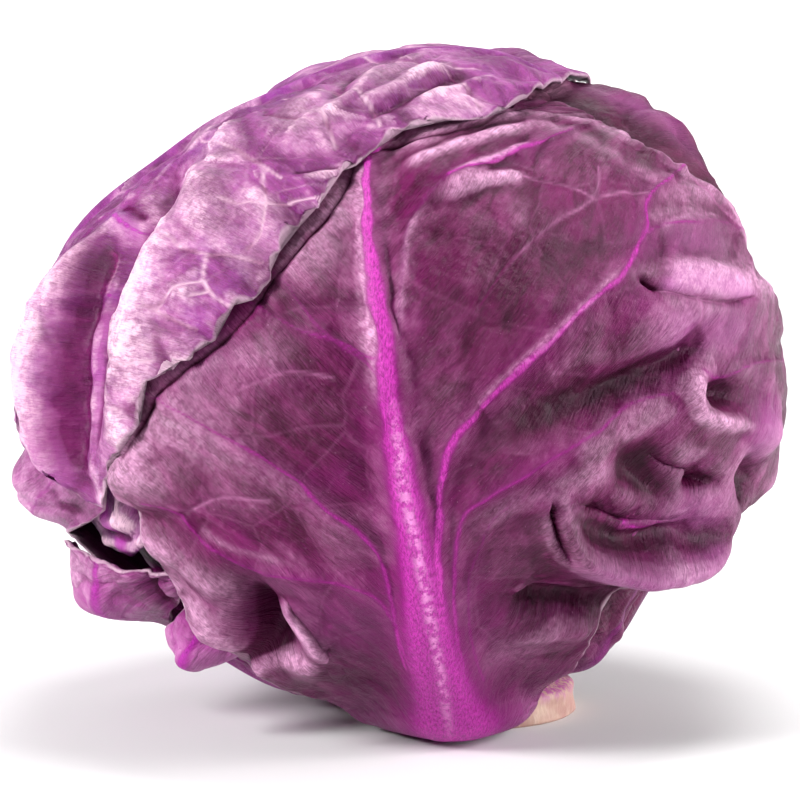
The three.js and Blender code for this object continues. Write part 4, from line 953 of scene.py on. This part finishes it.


# ---------------------------------------------------------------- materials
# base and alt: the blade's two tones; glow: beside the veins; bloom: the pale dust and the painted
# highlights, and dusty its amount;
# edge and vein: a vein's sides and its middle; line: the finest veins
PALETTES = {
    "plum": dict(base=(0.052, 0.002, 0.02), alt=(0.15, 0.009, 0.08), glow=(0.22, 0.005, 0.14),
                 bloom=(0.76, 0.4, 0.62), edge=(0.22, 0.002, 0.15), vein=(0.62, 0.04, 0.46),
                 line=(0.42, 0.15, 0.31), dusty=0.22),
    "dusty": dict(base=(0.13, 0.012, 0.09), alt=(0.32, 0.06, 0.25), glow=(0.26, 0.04, 0.32),
                  bloom=(0.75, 0.48, 0.61), edge=(0.3, 0.015, 0.25), vein=(0.5, 0.05, 0.45),
                  line=(0.7, 0.45, 0.57), dusty=0.8),
    # mauve: lighter than plum: painted light on the lower left leaves
    "mauve": dict(base=(0.1, 0.005, 0.06), alt=(0.27, 0.035, 0.19), glow=(0.34, 0.014, 0.26),
                  bloom=(0.6, 0.32, 0.5), edge=(0.26, 0.004, 0.2), vein=(0.55, 0.03, 0.47),
                  line=(0.55, 0.24, 0.44), dusty=0.5),
    # magenta: lighter than plum; on the heart it paints light into the shadowed cavity
    "magenta": dict(base=(0.13, 0.005, 0.075), alt=(0.27, 0.012, 0.19), glow=(0.36, 0.01, 0.27),
                    bloom=(0.6, 0.28, 0.5), edge=(0.26, 0.004, 0.2), vein=(0.55, 0.03, 0.48),
                    line=(0.55, 0.16, 0.46), dusty=0.34),
    # deep: a darker copy of plum, which paints shade on the leaves that lie under others
    "deep": dict(base=(0.04, 0.001, 0.014), alt=(0.1, 0.004, 0.042), glow=(0.15, 0.003, 0.075),
                 bloom=(0.5, 0.24, 0.36), edge=(0.13, 0.003, 0.09), vein=(0.35, 0.015, 0.27),
                 line=(0.35, 0.13, 0.25), dusty=0.1),
}
PINK = (0.45, 0.11, 0.36)
# the white streak's colour, also used for painted highlights
STREAK_AND_HIGHLIGHT = (0.86, 0.3, 0.7)
# the colour that the painted shade multiplies in
SHADE_TINT = (0.33, 0.04, 0.24)
PALE_RIM = (0.5, 0.34, 0.42)
FLESH, DRY_FLESH = (0.58, 0.4, 0.31), (0.48, 0.25, 0.22)
FLESH_FIBRE, STUMP_STAIN = (0.76, 0.6, 0.52), (0.42, 0.05, 0.3)


class Nodes:
    """A short way to write a new material and its node tree. An input may be named or numbered, as in _0."""

    def __init__(self, name):
        self.material = bpy.data.materials.new(name)
        self.material.use_nodes = True
        self.tree = self.material.node_tree
        self.tree.nodes.clear()

    def add(self, kind, settings=None, **inputs):
        node = self.tree.nodes.new(kind)
        for key, value in (settings or {}).items():
            setattr(node, key, value)
        for key, value in inputs.items():
            numbered = key[0] == "_" and key[1:].isdigit()
            self.put(node.inputs[int(key[1:]) if numbered else key.replace("_", " ")], value)
        return node

    def put(self, socket, value):
        if isinstance(value, bpy.types.NodeSocket):
            self.tree.links.new(value, socket)
        elif isinstance(value, bpy.types.Node):
            self.tree.links.new(value.outputs[0], socket)
        elif socket.type == "RGBA" and len(value) == 3:
            socket.default_value = (*value, 1)
        else:
            socket.default_value = value

    def attribute(self, name, vector=False):
        node = self.add("ShaderNodeAttribute", dict(attribute_name=name))
        return node.outputs["Vector" if vector else "Fac"]

    def math(self, operation, a, b, clamp=False):
        return self.add("ShaderNodeMath", dict(operation=operation, use_clamp=clamp), _0=a, _1=b).outputs[0]

    def times(self, a, b, clamp=False):
        return self.math("MULTIPLY", a, b, clamp)

    def plus(self, a, b, clamp=False):
        return self.math("ADD", a, b, clamp)

    def ramp(self, value, low, high, to_low=0.0, to_high=1.0):
        node = self.add("ShaderNodeMapRange", dict(interpolation_type="SMOOTHSTEP"), Value=value)
        for key, number in (("From Min", low), ("From Max", high), ("To Min", to_low), ("To Max", to_high)):
            node.inputs[key].default_value = number
        return node.outputs[0]

    def mix(self, share, a, b, blend="MIX"):
        node = self.tree.nodes.new("ShaderNodeMix")
        node.data_type, node.blend_type, node.clamp_factor = "RGBA", blend, True
        self.put(node.inputs[0], share)
        self.put(node.inputs[6], a)
        self.put(node.inputs[7], b)
        return node.outputs[2]

    def stretched(self, vector, scale):
        return self.add("ShaderNodeMapping", None, Vector=vector, Scale=scale).outputs[0]

    def noise(self, vector, scale, detail, rough, distortion=0.0):
        node = self.add("ShaderNodeTexNoise", dict(noise_dimensions="3D"), Vector=vector, Scale=scale,
                        Detail=detail, Roughness=rough, Distortion=distortion)
        return node.outputs[0]

    def bump(self, height, strength, distance):
        bump = self.add("ShaderNodeBump", None, Strength=strength, Distance=distance, Height=height)
        return bump.outputs[0]

    def surface(self, **inputs):
        shader = self.add("ShaderNodeBsdfPrincipled", None, **inputs)
        self.add("ShaderNodeOutputMaterial", None, Surface=shader)
        return shader


def leaf_material(name, c):
    n = Nodes(name)
    chart = n.attribute("chart", vector=True)
    flow = n.attribute("flow", vector=True)
    space = n.add("ShaderNodeTexCoord").outputs["Object"]
    blotch = n.noise(space, 48, 4, 0.6)
    patch = n.noise(n.stretched(flow, (0.055, 0.11, 1)), 1, 4, 0.6, 0.4)
    grain = n.noise(space, 520, 4, 0.7)
    speck = n.noise(space, 1700, 2, 0.5)
    brushed = n.noise(n.stretched(flow, (0.12, 1.3, 1)), 1, 4, 0.65, 0.3)
    hatch = n.noise(n.stretched(flow, (0.5, 3.4, 1)), 1, 3, 0.6, 0.2)
    convex = n.attribute("convex")

    # the blade's own colour, from deep plum to mauve, glowing magenta beside the veins
    colour = n.mix(n.ramp(patch, 0.38, 0.68), c["base"], c["alt"])
    colour = n.mix(n.times(n.ramp(blotch, 0.52, 0.74), 0.4), colour, c["glow"])
    colour = n.mix(n.times(n.attribute("halo"), 0.6), colour, c["glow"])
    colour = n.mix(n.ramp(hatch, 0.42, 0.7, 0, 0.3), colour, c["glow"])
    colour = n.mix(n.times(n.attribute("pink"), 0.75), colour, PINK)

    # the waxy dust, drawn out in fine strokes; it also paints highlights, pale on swellings and along the
    # painted pale strokes, and stays out of the painted shade
    # painted shade: darker in hollows and under the shade strokes, where the dust and highlights are left out
    shade = n.attribute("shade")
    hollow = n.ramp(convex, 0.16, 0.49, 1.0, 0.0)
    painted_shade = n.plus(n.times(hollow, 0.75), n.times(shade, 0.95), clamp=True)
    dust_and_highlight = n.plus(n.ramp(convex, 0.52, 0.9, 0, 1.0), n.ramp(brushed, 0.56, 0.8, 0, 0.35))
    dust_and_highlight = n.plus(dust_and_highlight, n.ramp(patch, 0.45, 0.75, -0.15, 0.35))
    dust_and_highlight = n.plus(dust_and_highlight, n.ramp(n.attribute("facet"), 0, 1, -0.5, 0.4))
    dust_and_highlight = n.times(dust_and_highlight, c["dusty"], clamp=True)
    dust_and_highlight = n.plus(dust_and_highlight, n.times(n.attribute("bloom_and_highlight"), 0.7))
    dust_and_highlight = n.times(dust_and_highlight, n.ramp(hatch, 0.3, 0.66, 0.55, 1.2))
    dust_and_highlight = n.times(dust_and_highlight, n.ramp(grain, 0.34, 0.64, 0.5, 1.25))
    dust_and_highlight = n.times(dust_and_highlight, n.math("SUBTRACT", 1.0, painted_shade), clamp=True)
    colour = n.mix(dust_and_highlight, colour, c["bloom"])
    colour = n.mix(n.times(n.ramp(speck, 0.68, 0.8), 0.25), colour, c["bloom"])

    # veins, from the hair-thin network to the midrib: darker edges, a bright and fibrous middle
    colour = n.mix(n.times(n.attribute("net"), 0.2), colour, c["line"])
    colour = n.mix(n.times(n.attribute("line"), 0.85), colour, c["line"])
    vein = n.attribute("vein")
    fibre = n.noise(n.stretched(chart, (2.6, 0.8, 1)), 1, 5, 0.75)
    core = n.times(n.ramp(vein, 0.3, 0.9), n.ramp(fibre, 0.36, 0.62, 0.15, 1.1))
    vein_colour = n.mix(core, c["edge"], c["vein"])
    colour = n.mix(n.ramp(vein, 0.06, 0.6, 0, 0.94), colour, vein_colour)
    colour = n.mix(n.times(dust_and_highlight, 0.12), colour, c["bloom"])
    # the rib's white streak, partly painted highlight, and painted highlights along two side veins
    streak_and_highlight = n.times(n.attribute("streak_and_highlight"), n.ramp(grain, 0.42, 0.58, 0.1, 0.95))
    colour = n.mix(streak_and_highlight, colour, STREAK_AND_HIGHLIGHT)

    # painted shade in hollows and under the shade strokes, and the pale rim
    colour = n.mix(painted_shade, colour, n.mix(1.0, colour, SHADE_TINT, "MULTIPLY"))
    colour = n.mix(n.times(n.attribute("rim"), 0.7), colour, PALE_RIM)

    rough = n.plus(n.times(dust_and_highlight, 0.2), n.ramp(grain, 0.3, 0.7, 0.32, 0.46))
    small_cells = n.add("ShaderNodeTexVoronoi", dict(voronoi_dimensions="2D", feature="SMOOTH_F1"),
                        Vector=chart, Scale=0.55).outputs["Distance"]
    relief = n.plus(n.times(small_cells, -0.5), n.times(grain, 0.8))
    relief = n.plus(relief, n.times(brushed, 1.2))
    relief = n.plus(relief, n.times(hatch, 0.5))
    shader = n.surface(Base_Color=colour, Roughness=rough, Normal=n.bump(relief, 0.9, 0.0006))
    shader.inputs["Specular IOR Level"].default_value = 0.25
    shader.inputs["Specular Tint"].default_value = (1, 0.6, 0.86, 1)
    shader.inputs["Coat Weight"].default_value = 0.04
    shader.inputs["Coat Roughness"].default_value = 0.3
    return n.material


def stump_material():
    n = Nodes("stump_flesh")
    space = n.add("ShaderNodeTexCoord").outputs["Object"]
    fibres = n.noise(n.stretched(space, (1, 1, 0.18)), 900, 5, 0.65)
    blotch = n.noise(space, 120, 4, 0.6)
    colour = n.mix(n.ramp(blotch, 0.35, 0.7), FLESH, DRY_FLESH)
    colour = n.mix(n.times(n.ramp(fibres, 0.5, 0.75), 0.5), colour, FLESH_FIBRE)
    height = n.add("ShaderNodeSeparateXYZ", None, _0=space).outputs[2]
    upper = n.times(n.ramp(height, 0.0035, 0.0078), n.ramp(fibres, 0.4, 0.56))
    colour = n.mix(upper, colour, STUMP_STAIN)
    n.surface(Base_Color=colour, Roughness=0.6, Normal=n.bump(fibres, 0.6, 0.0004))
    return n.material


def floor_material():
    n = Nodes("floor_paper")
    space = n.add("ShaderNodeTexCoord").outputs["Object"]
    tone = n.noise(space, 3, 3, 0.5)
    colour = n.mix(n.ramp(tone, 0.3, 0.7), (0.78, 0.78, 0.78), (0.81, 0.81, 0.81))
    n.surface(Base_Color=colour, Roughness=0.9)
    return n.material


# ---------------------------------------------------------------- the pieces
def place(piece, node, slot, material):
    piece.data.materials.clear()
    piece.data.materials.append(material)
    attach(piece, "root")
    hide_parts(node)


leaf_materials = {name: leaf_material("leaf_" + name, colours) for name, colours in PALETTES.items()}
for leaf in LEAVES:
    place(leaf.build(), leaf.node, leaf.slot, leaf_materials[leaf.palette])

HEART_DRAWN_IN = 3
HEART_WRAPS, HEART_SLANT = 3, 2  # margins met in a full turn, and on the way from pole to pole
HEART_STEP = 0.9  # height of a wrapped margin
HEART_CHART = (480, 240)  # millimetres for a full turn, and for half a turn from pole to pole
HEART_PUFFS = ((0.5, 12, 31), (0.25, 5, 32))  # height, size, seed


def fine_heart():
    """The tight ball of young leaves with wrapped margins, drawn in a little under the frame's heart."""
    source = bmesh.new()
    source.from_mesh(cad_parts["inner_head"].data)
    tree = BVHTree.FromBMesh(source)
    source.free()
    ball = bmesh.new()
    bmesh.ops.create_icosphere(ball, subdivisions=6, radius=1)
    direction = np.array([vertex.co[:] for vertex in ball.verts])
    direction /= np.linalg.norm(direction, axis=1)[:, None]
    centre = Vector(HEAD_CENTRE * MM)
    reach = np.array([tree.ray_cast(centre, Vector(way))[3] / MM for way in direction])
    turn = np.arctan2(direction[:, 1], direction[:, 0]) / (2 * np.pi)
    climb = np.arcsin(np.clip(direction[:, 2], -1, 1)) / np.pi
    solid = direction * NOISE_BALL
    wrap = HEART_WRAPS * turn + HEART_SLANT * climb + 0.06 * noise(solid, 22, 3)
    step = wrap - np.floor(wrap)
    puffs = layered_noise(solid, HEART_PUFFS)
    layers = HEART_STEP * (smooth(step * 12) - step) * (1 - 2 * np.abs(climb))
    inner = reach - HEART_DRAWN_IN + layers + puffs
    for vertex, point in zip(ball.verts, (HEAD_CENTRE + direction * inner[:, None]) * MM):
        vertex.co = point
    mesh = bpy.data.meshes.new("fine_inner_head")
    ball.to_mesh(mesh)
    ball.free()
    around, along = turn * HEART_CHART[0], climb * HEART_CHART[1]
    masks = {
        "convex": np.clip(0.5 + 0.4 * puffs, 0, 1),
        "rim": bell(step / 0.02),
        "line": bell(cells(around, along, 13, 5)[0] / 0.4) * 0.7,
    }
    return finished(mesh, masks, {"chart": solid, "flow": np.stack([along, around, 0 * turn], axis=1)})


def fine_stump():
    """A short cut stem with a slightly uneven side: rings of points from its foot to its top."""
    sides, foot_rings, side_rings = 160, 6, 24
    side_reach, side_height = (0.97, 1, 0.99, 0.96, 0.7), (0, 0.8, 3.4, 6.4, 8.4)
    up = np.linspace(0.05, 1, side_rings)
    reach = np.concatenate([np.linspace(0.2, 0.97, foot_rings), spline(side_reach, up), [0.35]])
    height = np.concatenate([np.zeros(foot_rings), spline(side_height, up), [STUMP_HEIGHT]])
    height = np.clip(height, 0, STUMP_HEIGHT)
    reach = np.clip(reach, 0, 1)
    points, faces = [], []
    for ring in range(len(reach)):
        for side in range(sides):
            a = 2 * math.pi * side / sides
            uneven = 0.012 * (1 + math.sin(9 * a + 0.5 * height[ring])) * min(1, height[ring])
            share = reach[ring] * (1 - uneven)
            points.append((STUMP_HALF_WIDTH * share * math.cos(a), STUMP_HALF_DEPTH * share * math.sin(a),
                           height[ring]))
    for ring in range(len(reach) - 1):
        for side in range(sides):
            a, b = ring * sides + side, ring * sides + (side + 1) % sides
            faces.append((a, b, b + sides, a + sides))
    points += [(0, 0, 0), (0, 0, STUMP_HEIGHT)]
    foot, top = len(points) - 2, len(points) - 1
    last = (len(reach) - 1) * sides
    for side in range(sides):
        following = (side + 1) % sides
        faces.append((foot, following, side))
        faces.append((top, last + side, last + following))
    made = bpy.data.meshes.new("fine_stump")
    made.from_pydata((np.array(points) * MM).tolist(), [], faces)
    made.update()
    return finished(made, {}, {})


# the heart takes the lighter magenta colours: painted light in its shadowed cavity
place(fine_heart(), "inner_head", "heart", leaf_materials["magenta"])
place(fine_stump(), "stump", "stump", stump_material())


# ---------------------------------------------------------------- floor, light and camera
HEAD_MIDDLE = (0, 0, 0.07)
LIGHTS = [  # name, size, power, position
    ("key", (0.34, 0.4), 20, (-0.9, -0.5, 0.62)),
    ("top", (0.6, 0.5), 10, (0.1, 0.2, 1.1)),
    ("side", (0.35, 0.6), 13, (0.95, -0.1, 0.4)),
    ("rim", (1.2, 0.6), 6, (0.1, 1.5, 1.0)),
]
WORLD_LIGHT = 0.1
WASH_SIZE, WASH_POWER, WASH_SPREAD = 3.2, 80, 60  # lights on the floor round the head, and not on it
WASH_DISTANCE, WASH_HEIGHT = 2.7, 1.7
FLOOR_HALF = 3
CAMERA_DISTANCE = 1.3
CAMERA_ELEVATION = 10
CAMERA_TARGET = (-0.016, 0, 0.0732)
TARGET_ROW = 390  # the image row on which the target lies
IMAGE_SIDE = 800
PIXEL = 0.2245 * MM
SENSOR = 36


def area_light(name, size, power, position, target=HEAD_MIDDLE, spread=180):
    data = bpy.data.lights.new(name, "AREA")
    data.shape, data.size, data.size_y = "RECTANGLE", size[0], size[1]
    data.spread = math.radians(spread)
    data.energy = power
    light = bpy.data.objects.new(name, data)
    light.location = position
    light.rotation_euler = (Vector(target) - Vector(position)).to_track_quat("-Z", "Y").to_euler()
    bpy.context.scene.collection.objects.link(light)


scene = bpy.context.scene
floor_mesh = bpy.data.meshes.new("floor")
corners = [(x * FLOOR_HALF, y * FLOOR_HALF, 0) for x, y in ((-1, -1), (1, -1), (1, 1), (-1, 1))]
floor_mesh.from_pydata(corners, [], [(0, 1, 2, 3)])
floor = bpy.data.objects.new("floor", floor_mesh)
floor_mesh.materials.append(floor_material())
scene.collection.objects.link(floor)

world = bpy.data.worlds.new("studio")
world.use_nodes = True
world.node_tree.nodes["Background"].inputs[0].default_value = (1, 1, 1, 1)
world.node_tree.nodes["Background"].inputs[1].default_value = WORLD_LIGHT
scene.world = world
for light in LIGHTS:
    area_light(*light)
for k, (x, y) in enumerate(((0, 1), (1, 0), (-1, 0), (0, -1))):
    x, y = x * WASH_DISTANCE, y * WASH_DISTANCE
    area_light(f"floor_wash_{k}", (WASH_SIZE, WASH_SIZE), WASH_POWER, (x, y, WASH_HEIGHT), (x, y, 0),
               WASH_SPREAD)

scene.view_settings.view_transform = "Standard"
scene.view_settings.look = "None"

elevation = math.radians(CAMERA_ELEVATION)
forward = Vector((0, math.cos(elevation), -math.sin(elevation)))
up = Vector((1, 0, 0)).cross(forward)
aim = Vector(CAMERA_TARGET) + up * (TARGET_ROW - IMAGE_SIDE // 2) * PIXEL
camera_data = bpy.data.cameras.new("camera")
camera_data.sensor_width = SENSOR
camera_data.lens = SENSOR * CAMERA_DISTANCE / (IMAGE_SIDE * PIXEL)
camera_data.clip_start, camera_data.clip_end = 0.05, 20
camera = bpy.data.objects.new("camera", camera_data)
camera.location = aim - forward * CAMERA_DISTANCE
camera.rotation_euler = forward.to_track_quat("-Z", "Y").to_euler()
scene.collection.objects.link(camera)
scene.camera = camera
